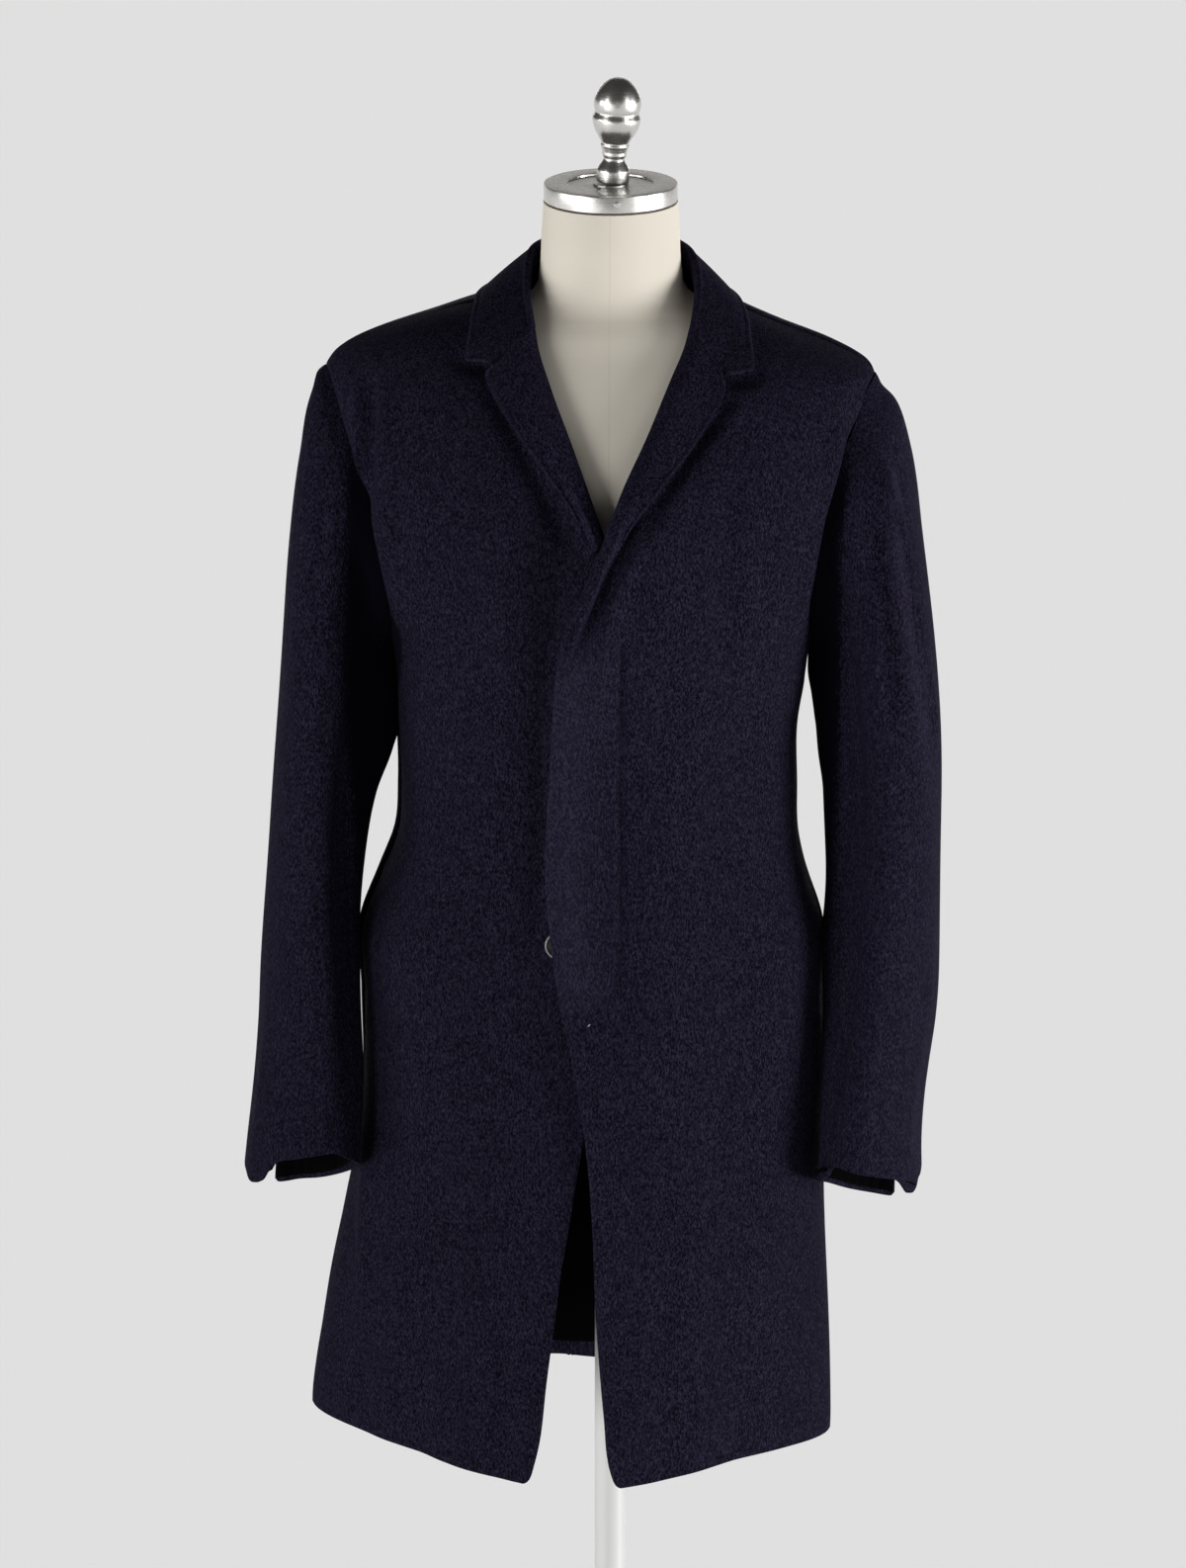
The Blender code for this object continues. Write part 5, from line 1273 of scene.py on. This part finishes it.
def collar_half(side, way, across):
    """across: 0 on the collar's outer edge, 1 at its hidden end inside the fold."""
    fold_x, fold_y, fold_z, turn, height, drop = COLLAR_AT[side](way)
    fold = stack(side * fold_x, fold_y, fold_z) - UP * COLLAR_TURN
    outward = unit(stack(side * fold_x, fold_y - COLLAR_CENTRE_Y, 0.0 * fold_x)) * COLLAR_TURN
    edge_turn = side * np.radians(turn)
    rest = COLLAR_REST[0] + (COLLAR_REST[1] - COLLAR_REST[0]) * smooth(way, *REST_WAY)
    edge = body_point(edge_turn, height) + body_normal(edge_turn, height) * rest[..., None]
    share = np.clip(across / FALL, 0, 1)[..., None]
    crown = COLLAR_CROWN * np.sin(pi * share) * UP
    fall = edge + (fold + outward - edge) * share + crown
    over = pi * np.clip((across - FALL) / (ROUND - FALL), 0, 1)[..., None]
    arc = fold + outward * np.cos(over) + UP * COLLAR_TURN * np.sin(over)
    down = np.clip((across - ROUND) / (1 - ROUND), 0, 1)[..., None]
    inside = fold - outward - UP * (drop - COLLAR_TURN)[..., None] * down
    low, high = (across < FALL)[..., None], (across > ROUND)[..., None]
    place = np.where(low, fall, np.where(high, inside, arc))
    corner = 1 - share[..., 0]
    tent = np.clip(np.minimum(corner / NOTCH_SHARE, (1 - corner) / (1 - NOTCH_SHARE)), 0, 1)
    dip = NOTCH_DROP[side] * tent * (1 - smooth(way, 0.0, NOTCH_WAY)) * low[..., 0]
    return place - np.array([side * NOTCH_IN[side], CHEST_SLOPE, 1.0]) * dip[..., None]


def both_halves(half, u, v):
    """u runs from the wearer's right lapel round the neck to the left one."""
    start = COLLAR_START[0] + (COLLAR_START[1] - COLLAR_START[0]) * smooth(v, 0.50, 0.85)
    way = start + (1 - start) * (1 - np.abs(2 * u - 1))
    return np.where((u < 0.5)[..., None], half(-1, way, v), half(1, way, v))


def collar_point(u, v):
    return both_halves(collar_half, u, v)


STAND_GAP = 0.0012           # below the collar's hidden end
STAND_INSET = 0.0062         # of its foot, from the neck seam
STAND_SINK = 0.0012          # of its foot, below the neck seam
STAND_START = 0.009          # how far outside the lapel's roll the seam begins
STAND_SIDE = 0.42            # the share of it that comes before the shoulder
STAND_SHORT = 0.025          # the share of the collar by which it is shorter at each end


def stand_half(side, way, rise):
    """rise: 0 at the neck seam, 1 under the collar's fold."""
    top = collar_half(side, way, np.ones_like(way)) - UP * STAND_GAP
    front = np.clip(way / STAND_SIDE, 0, 1)
    back = np.clip((way - STAND_SIDE) / (1 - STAND_SIDE), 0, 1)
    first = turn_of_x(side * (ROLL_LINE[side][-1].x * side + STAND_START), GORGE)
    turn = first + (side * pi / 2 - first) * front + side * pi / 2 * back
    height = GORGE + (NECK_POINT - GORGE) * front + (BACK_NECK - NECK_POINT) * back
    seam = body_point(turn, height)
    seat = seam - unit(seam * np.array([1.0, 1.0, 0.0])) * STAND_INSET - UP * STAND_SINK
    return seat + (top - seat) * rise[..., None]


def stand_point(u, v):
    return both_halves(stand_half, STAND_SHORT + (1 - 2 * STAND_SHORT) * u, v)


COLLAR_LENGTH = 0.40
COLLAR_FALL_WIDTH = 0.046
COLLAR_CORNER = (0.0060, 0.040)              # shares of the length and of the section it rounds off
COLLAR_COLUMNS, COLLAR_ROWS = 0.085, 1.25    # how far columns crowd to the ends, and rows to the edge
NOTCH_END = 0.40             # share of the fall at which the notch meets the seam with the lapel
NOTCH_BLEND = (NOTCH_END - 0.06, NOTCH_END + 0.02)


def make_collar():
    def spot(u, v):
        """Shares of the collar's surface, metres from its outer edge and its ends, and 1 in the notch."""
        u = u - COLLAR_COLUMNS * np.sin(2 * pi * u)
        v = v**COLLAR_ROWS
        end = np.minimum(u, 1 - u)
        v = v + COLLAR_CORNER[1] * rounded_corner(end, COLLAR_CORNER[0]) * np.clip(1 - v / FALL, 0, 1)
        notch = 1 - smooth(v / FALL, *NOTCH_BLEND)
        return u, v, v / FALL * COLLAR_FALL_WIDTH, end * COLLAR_LENGTH, notch

    def place(u, v):
        u, v, from_edge, from_end, notch = spot(u, v)
        end_stitches = notch * stitched_edge(from_end) * smooth(from_edge, 0.001, 0.004)
        relief = stitched_edge(from_edge) + end_stitches
        relief = relief + SEAM_SHARE * (1 - notch) * seam_dip(from_end) * (v < FALL)
        relief = relief + 0.5 * sway(u * COLLAR_LENGTH, from_edge, 11) * smooth(v, 0.0, 0.1)
        normal = normal_of(collar_point, u, v, 2e-3, -1.0)
        return collar_point(u, v) + normal * (relief * (1 - smooth(v, 0.80, 1.0)))[..., None]

    # painted highlight along the collar's edge and along its ends in the notch
    def rim_highlight(u, v):
        _, _, from_edge, from_end, notch = spot(u, v)
        return RIM_HIGHLIGHT * np.maximum(bell(from_edge, RIM_WIDTH), notch * bell(from_end, RIM_WIDTH))

    return [lay("collar_cloth", 236, 62, place, -1, NAVY, PRESSED, painted_light_and_shade=rim_highlight),
            lay("collar_stand_cloth", 140, 14, stand_point, 1, NAVY, PRESSED)]


# ---- the fly: its strip, its stitches and its buttons -----------------------------------------------
FLY_TOP, FLY_BOTTOM = 1.250, 0.915
FLY_STITCH_X = 0.0075        # where its stitches hold it
FLY_INSET = 0.007            # of its free edge, from the front's edge
FLY_DEPTH = 0.0074           # of its outer face, below the left front's
FLY_STRIP, FLY_ROUND_OFF = 0.0014, 0.0006    # its thickness and its edges'


def make_fly():
    def place(u, v):
        height = FLY_BOTTOM + (FLY_TOP - FLY_BOTTOM) * v
        edge = LEFT_EDGE_AT(height)[0] + FLY_INSET
        turn = turn_of_x(edge + (FLY_STITCH_X - edge) * u, height)
        return front_point(1, turn, height, 0.0 * turn - FLY_DEPTH)

    return lay("fly_strip_cloth", 24, 140, place, 1, NAVY, FLY_STRIP, FLY_ROUND_OFF)


def surface_frame(side, x, height, out):
    """Place and axes on a front: Z out of the cloth, X across and Y up."""
    x, height = np.array(float(x)), np.array(float(height))
    turn = turn_of_x(x, height)
    outward = Vector(body_normal(turn, height)).normalized()
    across = Vector((1, 0, 0)) - outward * outward.x
    across.normalize()
    upward = outward.cross(across)
    axes = Matrix((across, upward, outward)).transposed().to_4x4()
    return Matrix.Translation(Vector(front_point(side, turn, height, out))) @ axes


def add_stitch(bm, matrix, length, width):
    """One stitch lying along the X axis of its matrix, half sunk in the cloth."""
    made = bmesh.ops.create_uvsphere(bm, u_segments=6, v_segments=5, radius=0.5)["verts"]
    shape = Matrix.Diagonal((width, width * 0.8, length, 1.0))
    bmesh.ops.transform(bm, matrix=matrix @ Matrix.Rotation(pi / 2, 4, "Y") @ shape, verts=made)


STITCH_LENGTH, STITCH_PITCH, STITCH_WIDTH = 0.0023, 0.0033, 0.00055
STITCH_RISE = 0.0001
TACK_AT, TACK_LEAN = (-0.0171, 0.8962), radians(38)      # a white tailor's tack at the fly's lower end
TACK_LENGTH, TACK_WIDTH, TACK_RISE = 0.0030, 0.0007, 0.0003


def make_stitches():
    path = [np.array(point) for point in STITCH_PATH]
    lengths = [np.linalg.norm(b - a) for a, b in zip(path, path[1:])]
    ends = np.concatenate([[0.0], np.cumsum(lengths)])
    bm = bmesh.new()
    for way in np.arange(STITCH_PITCH / 2, ends[-1], STITCH_PITCH):
        row = min(int(np.searchsorted(ends, way)) - 1, len(lengths) - 1)
        line = path[row + 1] - path[row]
        x, height = path[row] + line * (way - ends[row]) / lengths[row]
        lean = Matrix.Rotation(np.arctan2(line[1], line[0]), 4, "Z")
        x_at, height_at = np.array(x), np.array(height)
        turn = turn_of_x(x_at, height_at)
        u = (x - LEFT_EDGE_AT(height_at)[0]) / PANEL_WIDTH
        relief = float(front_relief(1, turn, height_at, u, (height - HEM_FRONT_LEFT) / PANEL_LENGTH))
        place = surface_frame(1, x, height, relief + STITCH_RISE) @ lean
        add_stitch(bm, place, STITCH_LENGTH, STITCH_WIDTH)
    show("fly_stitches", mesh_of("fly_stitches", bm), NAVY_THREAD, None)
    bm = bmesh.new()
    place = surface_frame(1, *TACK_AT, TACK_RISE) @ Matrix.Rotation(TACK_LEAN, 4, "Z")
    add_stitch(bm, place, TACK_LENGTH, TACK_WIDTH)
    show("tack_thread", mesh_of("tack_thread", bm), WHITE_THREAD, None)


BUTTON_RIM = [  # height, radius: up the side, over the rim and down into the dish
    (0.0000, 0.0094), (0.0004, 0.0103), (0.0011, 0.0109), (0.0018, 0.0110), (0.0024, 0.0108),
    (0.0028, 0.0104), (0.0030, 0.0099), (0.0029, 0.0094), (0.0025, 0.0088), (0.0021, 0.0080),
    (0.0019, 0.0070), (0.0018, 0.0052), (0.0018, 0.0034), (0.0018, 0.0016),
]
BUTTON_TOP = max(height for height, _ in BUTTON_RIM)
BUTTON_DEPTH = 0.0037        # of its top, below the left front's outer face
LOWEST_BUTTON = (-0.0410, 0.9590)
HIDDEN_BUTTON_X = -0.0200
BUTTON_PITCH = 0.0770
BUTTONS, BUTTON_STEPS = 4, 48
HOLE_RING = (0.0016, 0.0034)                 # the ring of the dish that the holes lie in
HOLE_DEGREES = 16            # how far each hole reaches to either side of its diagonal
HOLE_INSET, HOLE_DEPTH = 0.0002, 0.0009
HIGHLIGHT_RIM, HIGHLIGHT_ABOVE = (0.0093, 0.0107), 0.0022          # the part of the lowest button's rim painted pale as a painted highlight
THREAD_LENGTH, THREAD_WIDTH, THREAD_RISE = 0.0046, 0.0005, 0.0019
THREAD_APART, THREAD_OVER = 0.0002, 0.0003   # two lie side by side, and two more cross over them


def spun(profile, steps):
    """A closed solid of revolution about Z from (height, radius) rows."""
    bm = bmesh.new()
    verts = [bm.verts.new((radius, 0, height)) for height, radius in profile]
    edges = [bm.edges.new(pair) for pair in zip(verts, verts[1:])]
    bmesh.ops.spin(bm, geom=verts + edges, cent=(0, 0, 0), axis=(0, 0, 1), angle=2 * pi,
                   steps=steps, use_merge=True)
    bmesh.ops.remove_doubles(bm, verts=bm.verts[:], dist=1e-6)
    bmesh.ops.holes_fill(bm, edges=[edge for edge in bm.edges if edge.is_boundary], sides=0)
    bmesh.ops.recalc_face_normals(bm, faces=bm.faces[:])
    return bm


def finished(name, bm, finish, matrix, stands_for, sharp=35):
    """A hard piece, moved to its place; edges that turn by more than sharp degrees stay crisp."""
    bmesh.ops.transform(bm, matrix=matrix, verts=bm.verts[:])
    mesh = mesh_of(name, bm)
    piece = show(name, mesh, finish, stands_for)
    mesh.set_sharp_from_angle(angle=radians(sharp))
    return piece


def in_a_hole(face):
    """Whether a face of the button's dish belongs to one of its four holes."""
    middle = face.calc_center_median()
    if not HOLE_RING[0] < middle.xy.length < HOLE_RING[1]:
        return False
    from_diagonal = (np.degrees(np.arctan2(*middle.yx)) - 45) % 90
    return min(from_diagonal, 90 - from_diagonal) < HOLE_DEGREES


def make_button(number):
    x, height = LOWEST_BUTTON
    if number:
        x, height = HIDDEN_BUTTON_X, height + BUTTON_PITCH * number
    seat = surface_frame(1, x, height, -BUTTON_DEPTH - BUTTON_TOP)
    bm = spun(BUTTON_RIM, BUTTON_STEPS)
    holes = [face for face in bm.faces if in_a_hole(face)]
    bmesh.ops.inset_region(bm, faces=holes, thickness=HOLE_INSET, depth=-HOLE_DEPTH)
    piece = finished(f"button_{number + 1}_turned", bm, HORN, seat, f"button_{number + 1}")
    # painted highlight on the top of the lowest button's rim
    if number == 0:
        piece.data.materials.append(BUTTON_HIGHLIGHT)
        for face in piece.data.polygons:
            middle = seat.inverted() @ face.center
            if HIGHLIGHT_RIM[0] < middle.xy.length < HIGHLIGHT_RIM[1] and middle.z > HIGHLIGHT_ABOVE:
                face.material_index = 1
    bm = bmesh.new()
    for way in (-1, 1):
        for lift, angle in ((0.0, 45), (THREAD_OVER, -45)):
            place = Matrix.Translation((0, 0, THREAD_RISE + lift)) \
                @ Matrix.Rotation(radians(angle), 4, "Z") \
                @ Matrix.Translation((0, way * THREAD_APART, 0))
            add_stitch(bm, seat @ place, THREAD_LENGTH, THREAD_WIDTH)
    finished(f"button_{number + 1}_thread", bm, NAVY_THREAD, Matrix.Identity(4), None)


# ---- linings ----------------------------------------------------------------------------------------
LINING_GAP = 0.0026          # between the wool and the lining
LINING_TURNS = (radians(102), radians(156))  # where it begins, and how far round it goes
LINING_HEM, LINING_TOP = 0.014, 0.800        # how far above the hem it ends; how high it is seen
PLEAT_DEPTH, PLEATS, PLEAT_TWIST = 0.0016, 23, 3
PLEAT_FADE = 0.25            # share of its height over which they grow, up from a flat hem
CUFF_LINING_TOP, CUFF_LINING_END = 0.90, 0.007       # where it begins; how far above the hem it ends
CUFF_LINING_INSET = 0.05     # from the edges of the vent, in radians
CUFF_GAP = 0.0026
PUCKER_DEPTH, PUCKERS = 0.0004, 31


def make_back_lining():
    def place(u, v):
        turn = LINING_TURNS[0] + LINING_TURNS[1] * u
        low = hem_height(turn) + LINING_HEM
        height = low + (LINING_TOP - low) * v
        spot = body_point(turn, height)
        pleat = PLEAT_DEPTH * (1 + np.sin(PLEATS * turn + PLEAT_TWIST * height)) * smooth(v, 0.0, PLEAT_FADE)
        depth = WOOL + LINING_GAP + pleat - creased(BACK_CREASES, spot[..., 0], height)
        return spot - body_normal(turn, height) * depth[..., None]

    return lay("lining_back_cloth", 110, 66, place, 1, LINING_CLOTH, LINING, THIN_ROUND_OFF)


def make_cuff_lining(word):
    side = SIDES[word]

    def place(u, v):
        first = HIND_SEAM[1] + VENT_OPENING + CUFF_LINING_INSET
        last = HIND_SEAM[1] + 2 * pi - UNDER_VENT - CUFF_LINING_INSET
        hem = cuff_hem(side, first + (last - first) * u)
        way = CUFF_LINING_TOP + (hem - CUFF_LINING_END - CUFF_LINING_TOP) * v
        start = seam_angle(HIND_SEAM, way) + vent(way) + CUFF_LINING_INSET
        stop = seam_angle(HIND_SEAM, way) + 2 * pi - under_vent(way) - CUFF_LINING_INSET
        angle = start + (stop - start) * u
        pucker = PUCKER_DEPTH * (1 + np.sin(PUCKERS * angle))
        depth = WOOL + CUFF_GAP + pucker - sleeve_shape(side, way, angle)
        return sleeve_point(side, way, angle) - sleeve_normal(side, way, angle) * depth[..., None]

    return lay(f"cuff_lining_{word}_cloth", 130, 24, place, side, LINING_CLOTH, LINING,
               THIN_ROUND_OFF)


# ---- the dress form and its stand -------------------------------------------------------------------
Form = namedtuple("Form", "height half_width front back square")
FORM = [
    Form(0.8000, 0.1180, 0.0840, 0.0860, 2.2),
    Form(0.8060, 0.1300, 0.0940, 0.0960, 2.2),
    Form(0.8250, 0.1420, 0.1040, 0.1080, 2.2),
    Form(0.9000, 0.1500, 0.1120, 0.1180, 2.2),
    Form(0.9800, 0.1420, 0.1090, 0.1060, 2.2),
    Form(1.0600, 0.1340, 0.1060, 0.0960, 2.2),
    Form(1.1400, 0.1380, 0.1100, 0.1020, 2.2),
    Form(1.2200, 0.1500, 0.1170, 0.1120, 2.2),
    Form(1.3000, 0.1640, 0.1130, 0.1160, 2.2),
    Form(1.3600, 0.1740, 0.0980, 0.1080, 2.2),
    Form(1.4000, 0.1700, 0.0800, 0.0950, 2.2),
    Form(1.4200, 0.1480, 0.0690, 0.0850, 2.1),
    Form(1.4360, 0.1150, 0.0610, 0.0770, 2.0),
    Form(1.4480, 0.0780, 0.0520, 0.0650, 2.0),
    Form(1.4600, 0.0615, 0.0500, 0.0585, 2.0),
    Form(1.4780, 0.0566, 0.0505, 0.0560, 2.0),
    Form(1.5030, 0.0549, 0.0530, 0.0545, 2.0),
    Form(1.5310, 0.0534, 0.0534, 0.0534, 2.0),
]
FORM_SHIFT = -0.004          # the chest sits a little to the wearer's right of the neck
SHIFT_END, LEAN_START = (1.36, 1.45), (1.46, 1.53)       # heights
CAP_TILT = radians(3.2)      # the neck cap leans forward, and the top of the neck with it
CAP_TOP, CAP_THICK, CAP_RADIUS = 1.5458, 0.0135, 0.0531
FORM_RINGS, FORM_SIDES = 110, 128
CROWDED, CROWDING = 0.25, 1.7                # rings crowd to the bottom over this share, by this power


def crowded(share):
    if share < CROWDED:
        return share**CROWDING
    knee = CROWDED**CROWDING
    return knee + (1 - knee) * (share - CROWDED) / (1 - CROWDED)


def make_form():
    form_at = Curve(FORM)
    low, high = FORM[0].height, FORM[-1].height
    bm = bmesh.new()
    bmesh.ops.create_cone(bm, cap_ends=True, segments=FORM_SIDES, radius1=1, radius2=1, depth=1)
    upright = [edge for edge in bm.edges if abs(edge.verts[0].co.z - edge.verts[1].co.z) > 0.5]
    bmesh.ops.subdivide_edges(bm, edges=upright, cuts=FORM_RINGS, use_grid_fill=True)
    for vert in bm.verts:
        height = low + (high - low) * crowded(vert.co.z + 0.5)
        half_width, front, back, square = [float(value) for value in form_at(height)]
        lean = float(smooth(height, *LEAN_START))
        across, along = signed_power(vert.co.x, 2 / square), signed_power(vert.co.y, 2 / square)
        place_y = along * (back if along > 0 else front)
        shift = FORM_SHIFT * (1 - float(smooth(height, *SHIFT_END)))
        vert.co = (shift + across * half_width, place_y, height + lean * place_y * tan(CAP_TILT))
    finished("dress_form_canvas", bm, CANVAS, Matrix.Identity(4), "dress_form", 50)


CAP_PROFILE = [  # height, radius: side, rim, top and the shallow recess in it
    (0.0000, 0.0524), (0.0006, 0.0531), (0.0125, 0.0531), (0.0133, 0.0528), (0.0135, 0.0522),
    (0.0135, 0.0350), (0.0133, 0.0343), (0.0121, 0.0340), (0.0119, 0.0334), (0.0119, 0.0150),
    (0.0121, 0.0143), (0.0135, 0.0142), (0.0135, 0.0010),
]
KNOB = [  # height above the cap, radius
    (0.0003, 0.0126), (0.0008, 0.0131), (0.0022, 0.0132), (0.0087, 0.0131), (0.0098, 0.0130),
    (0.0106, 0.0127), (0.0121, 0.0120), (0.0144, 0.0106), (0.0168, 0.0091), (0.0181, 0.0085),
    (0.0190, 0.0084), (0.0199, 0.0085), (0.0207, 0.0089), (0.0213, 0.0096), (0.0219, 0.0099),
    (0.0229, 0.0099), (0.0238, 0.0098), (0.0245, 0.0098), (0.0255, 0.0101), (0.0267, 0.0105),
    (0.0276, 0.0107), (0.0284, 0.0110), (0.0292, 0.0114), (0.0299, 0.0115), (0.0306, 0.0113),
    (0.0313, 0.0110), (0.0321, 0.0111), (0.0333, 0.0119), (0.0349, 0.0128), (0.0365, 0.0137),
    (0.0390, 0.0153), (0.0415, 0.0167), (0.0439, 0.0177), (0.0464, 0.0184), (0.0485, 0.0189),
    (0.0504, 0.0192), (0.0518, 0.0191), (0.0529, 0.0188), (0.0542, 0.0182), (0.0554, 0.0178),
    (0.0561, 0.0176), (0.0570, 0.0175), (0.0577, 0.0178), (0.0585, 0.0181), (0.0595, 0.0184),
    (0.0615, 0.0187), (0.0635, 0.0187), (0.0657, 0.0185), (0.0677, 0.0181), (0.0702, 0.0172),
    (0.0726, 0.0161), (0.0752, 0.0146), (0.0775, 0.0129), (0.0794, 0.0110), (0.0808, 0.0093),
    (0.0820, 0.0076), (0.0827, 0.0061), (0.0834, 0.0042), (0.0837, 0.0025), (0.0838, 0.0006),
]
KNOB_LEAN = radians(3.5)
POLE_RADIUS = 0.0125
BASE_THICK = 0.012
BASE_PROFILE = [
    (0.0000, 0.1880), (0.0006, 0.1894), (0.0016, 0.1900), (0.0088, 0.1900), (0.0106, 0.1892),
    (0.0117, 0.1874), (0.0120, 0.1850), (0.0120, 0.0220), (0.0120, 0.0010),
]
JOINT_GAP = 0.0004
SCREW = [(0.0000, 0.0024), (0.0006, 0.0025), (0.0011, 0.0022), (0.0013, 0.0016), (0.0013, 0.0004)]
SCREW_TURN, SCREW_RISE, SCREW_SINK = radians(-84.6), 0.0076, 0.0002      # round and up the cap's side
KNOB_X, KNOB_GAP = 0.0015, 0.0007
POLE_RING = 0.02             # a ring of vertices this far up the pole


def make_stand():
    forward = Matrix.Rotation(CAP_TILT, 4, "X")
    cap_at = Matrix.Translation((0, 0, CAP_TOP - CAP_THICK)) @ forward
    finished("neck_cap_turned", spun(CAP_PROFILE, 128), ALUMINIUM, cap_at, "neck_cap",
             30)
    screw_at = cap_at @ Matrix.Rotation(SCREW_TURN, 4, "Z") \
        @ Matrix.Translation((CAP_RADIUS - SCREW_SINK, 0, SCREW_RISE)) @ Matrix.Rotation(pi / 2, 4, "Y")
    finished("neck_cap_screw", spun(SCREW, 24), ALUMINIUM, screw_at, None, 30)
    knob_at = Matrix.Translation((KNOB_X, 0, CAP_TOP + KNOB_GAP)) @ forward \
        @ Matrix.Rotation(KNOB_LEAN, 4, "Y")
    finished("knob_turned", spun(KNOB, 72), ALUMINIUM, knob_at, "knob", 60)
    pole_top = FORM[0].height - BASE_THICK - 2 * JOINT_GAP
    pole = [(height, POLE_RADIUS) for height in (0.0, POLE_RING, pole_top)]
    finished("pole_tube", spun(pole, 64), PAINTED, Matrix.Translation((0, 0, BASE_THICK + JOINT_GAP)),
             "pole")
    finished("base_disc", spun(BASE_PROFILE, 128), PAINTED, Matrix.Identity(4), "base",
             30)


# ---- everything -------------------------------------------------------------------------------------
cloth = {}
for word in SIDES:
    cloth[f"front_{word}"] = make_front(word)
    cloth[f"back_{word}"] = make_back(word)
    cloth[f"top_sleeve_{word}"], cloth[f"under_sleeve_{word}"] = make_sleeve(word)
    cloth[f"lapel_{word}"] = make_lapel(word)
    cloth[f"cuff_lining_{word}"] = make_cuff_lining(word)
cloth["collar"], cloth["collar_stand"] = make_collar()
cloth["fly_strip"] = make_fly()
cloth["lining_back"] = make_back_lining()
make_stitches()
for number in range(BUTTONS):
    make_button(number)
make_form()
make_stand()


# ---- floor and light --------------------------------------------------------------------------------
def glowing(name, colour, strength, diffuse=0.0):
    """Paint that also gives off light of its own, for what stands round the object."""
    finish = Finish(name, 0.9, Specular_IOR_Level=0.0)
    finish.colour(tuple(diffuse for _ in range(3)))
    finish.put(finish.shader, "Emission Color", (*colour, 1.0))
    finish.put(finish.shader, "Emission Strength", strength)
    return finish.material


def stand_round(name, bm, material, place=Matrix.Identity(4), camera=True, glossy=True):
    """A thing of the studio: it lights no cloth.  The camera sees it, polished metal does, or both."""
    mesh = mesh_of(name, bm)
    mesh.materials.append(material)
    thing = bpy.data.objects.new(name, mesh)
    thing.matrix_world = place
    thing.visible_camera, thing.visible_glossy = camera, glossy
    thing.visible_diffuse = thing.visible_shadow = thing.visible_transmission = False
    bpy.context.scene.collection.objects.link(thing)


def towards(azimuth, elevation):
    """Azimuth 0 is the front and 90 is +X."""
    flat = cos(radians(elevation))
    return Vector((sin(radians(azimuth)) * flat, -cos(radians(azimuth)) * flat, sin(radians(elevation))))


FLOOR_SIZE = 200.0
FLOOR_GREY, FLOOR_GLOW = 0.30, 0.695
FLOOR_DROP = 0.0005          # clear of the underside of the base
BACKDROP_RADIUS, BACKDROP_GLOW = 60.0, 0.737
WHITE, WARM_WHITE = (1.0, 1.0, 1.0), (1.0, 0.98, 0.95)
SKY_LIGHT = 0.045
AIM_HEIGHT = 1.3             # that the soft boxes stand round and face
LAMPS = [  # name, power, azimuth, elevation, spread
    ("left_box", 1.40, -44, -8, 26),
    ("left_edge_box", 1.10, -80, -6, 34),
    ("right_box", 3.10, 77, -6, 28),
    ("front_fill", 0.25, 35, -6, 40),
    ("low_reflector", 0.70, 0, -40, 50),
    ("rear_box", 2.20, 178, 4, 50),
]
SOFT_BOXES = [  # azimuth, elevation, distance, width, height, glow
    (52, 10, 3.0, 0.9, 2.2, 3.0),
    (-55, 10, 3.0, 0.9, 2.2, 2.8),
    (180, 18, 5.0, 7.0, 2.4, 0.42),
    (0, 5, 7.0, 2.6, 4.0, 0.30),
]


def make_studio():
    bm = bmesh.new()
    bmesh.ops.create_grid(bm, x_segments=2, y_segments=2, size=FLOOR_SIZE / 2)
    stand_round("floor", bm, glowing("pale_floor", WHITE, FLOOR_GLOW, FLOOR_GREY),
                Matrix.Translation((0, 0, -FLOOR_DROP)))
    bm = bmesh.new()
    bmesh.ops.create_uvsphere(bm, u_segments=48, v_segments=24, radius=BACKDROP_RADIUS)
    stand_round("backdrop", bm, glowing("pale_backdrop", WHITE, BACKDROP_GLOW), glossy=False)
    for number, (azimuth, elevation, distance, width, height, glow) in enumerate(SOFT_BOXES):
        bm = bmesh.new()
        bmesh.ops.create_grid(bm, x_segments=2, y_segments=2, size=0.5)
        way = towards(azimuth, elevation)
        place = Matrix.Translation(way * distance + Vector((0, 0, AIM_HEIGHT))) \
            @ way.to_track_quat("Z", "Y").to_matrix().to_4x4() @ Matrix.Diagonal((width, height, 1, 1))
        name = f"soft_box_{number}"
        stand_round(name, bm, glowing(name, WARM_WHITE, glow), place, camera=False)
    world = bpy.data.worlds.new("studio")
    world.use_nodes = True
    sky = world.node_tree.nodes["Background"]
    sky.inputs["Color"].default_value = (*WHITE, 1.0)
    sky.inputs["Strength"].default_value = SKY_LIGHT
    bpy.context.scene.world = world
    for name, power, azimuth, elevation, spread in LAMPS:
        lamp = bpy.data.lights.new(name, "SUN")
        lamp.energy = power
        lamp.angle = radians(spread)
        lamp_object = bpy.data.objects.new(name, lamp)
        lamp_object.rotation_euler = towards(azimuth, elevation).to_track_quat("Z", "Y").to_euler()
        bpy.context.scene.collection.objects.link(lamp_object)
    bpy.context.scene.view_settings.view_transform = "Standard"


make_studio()
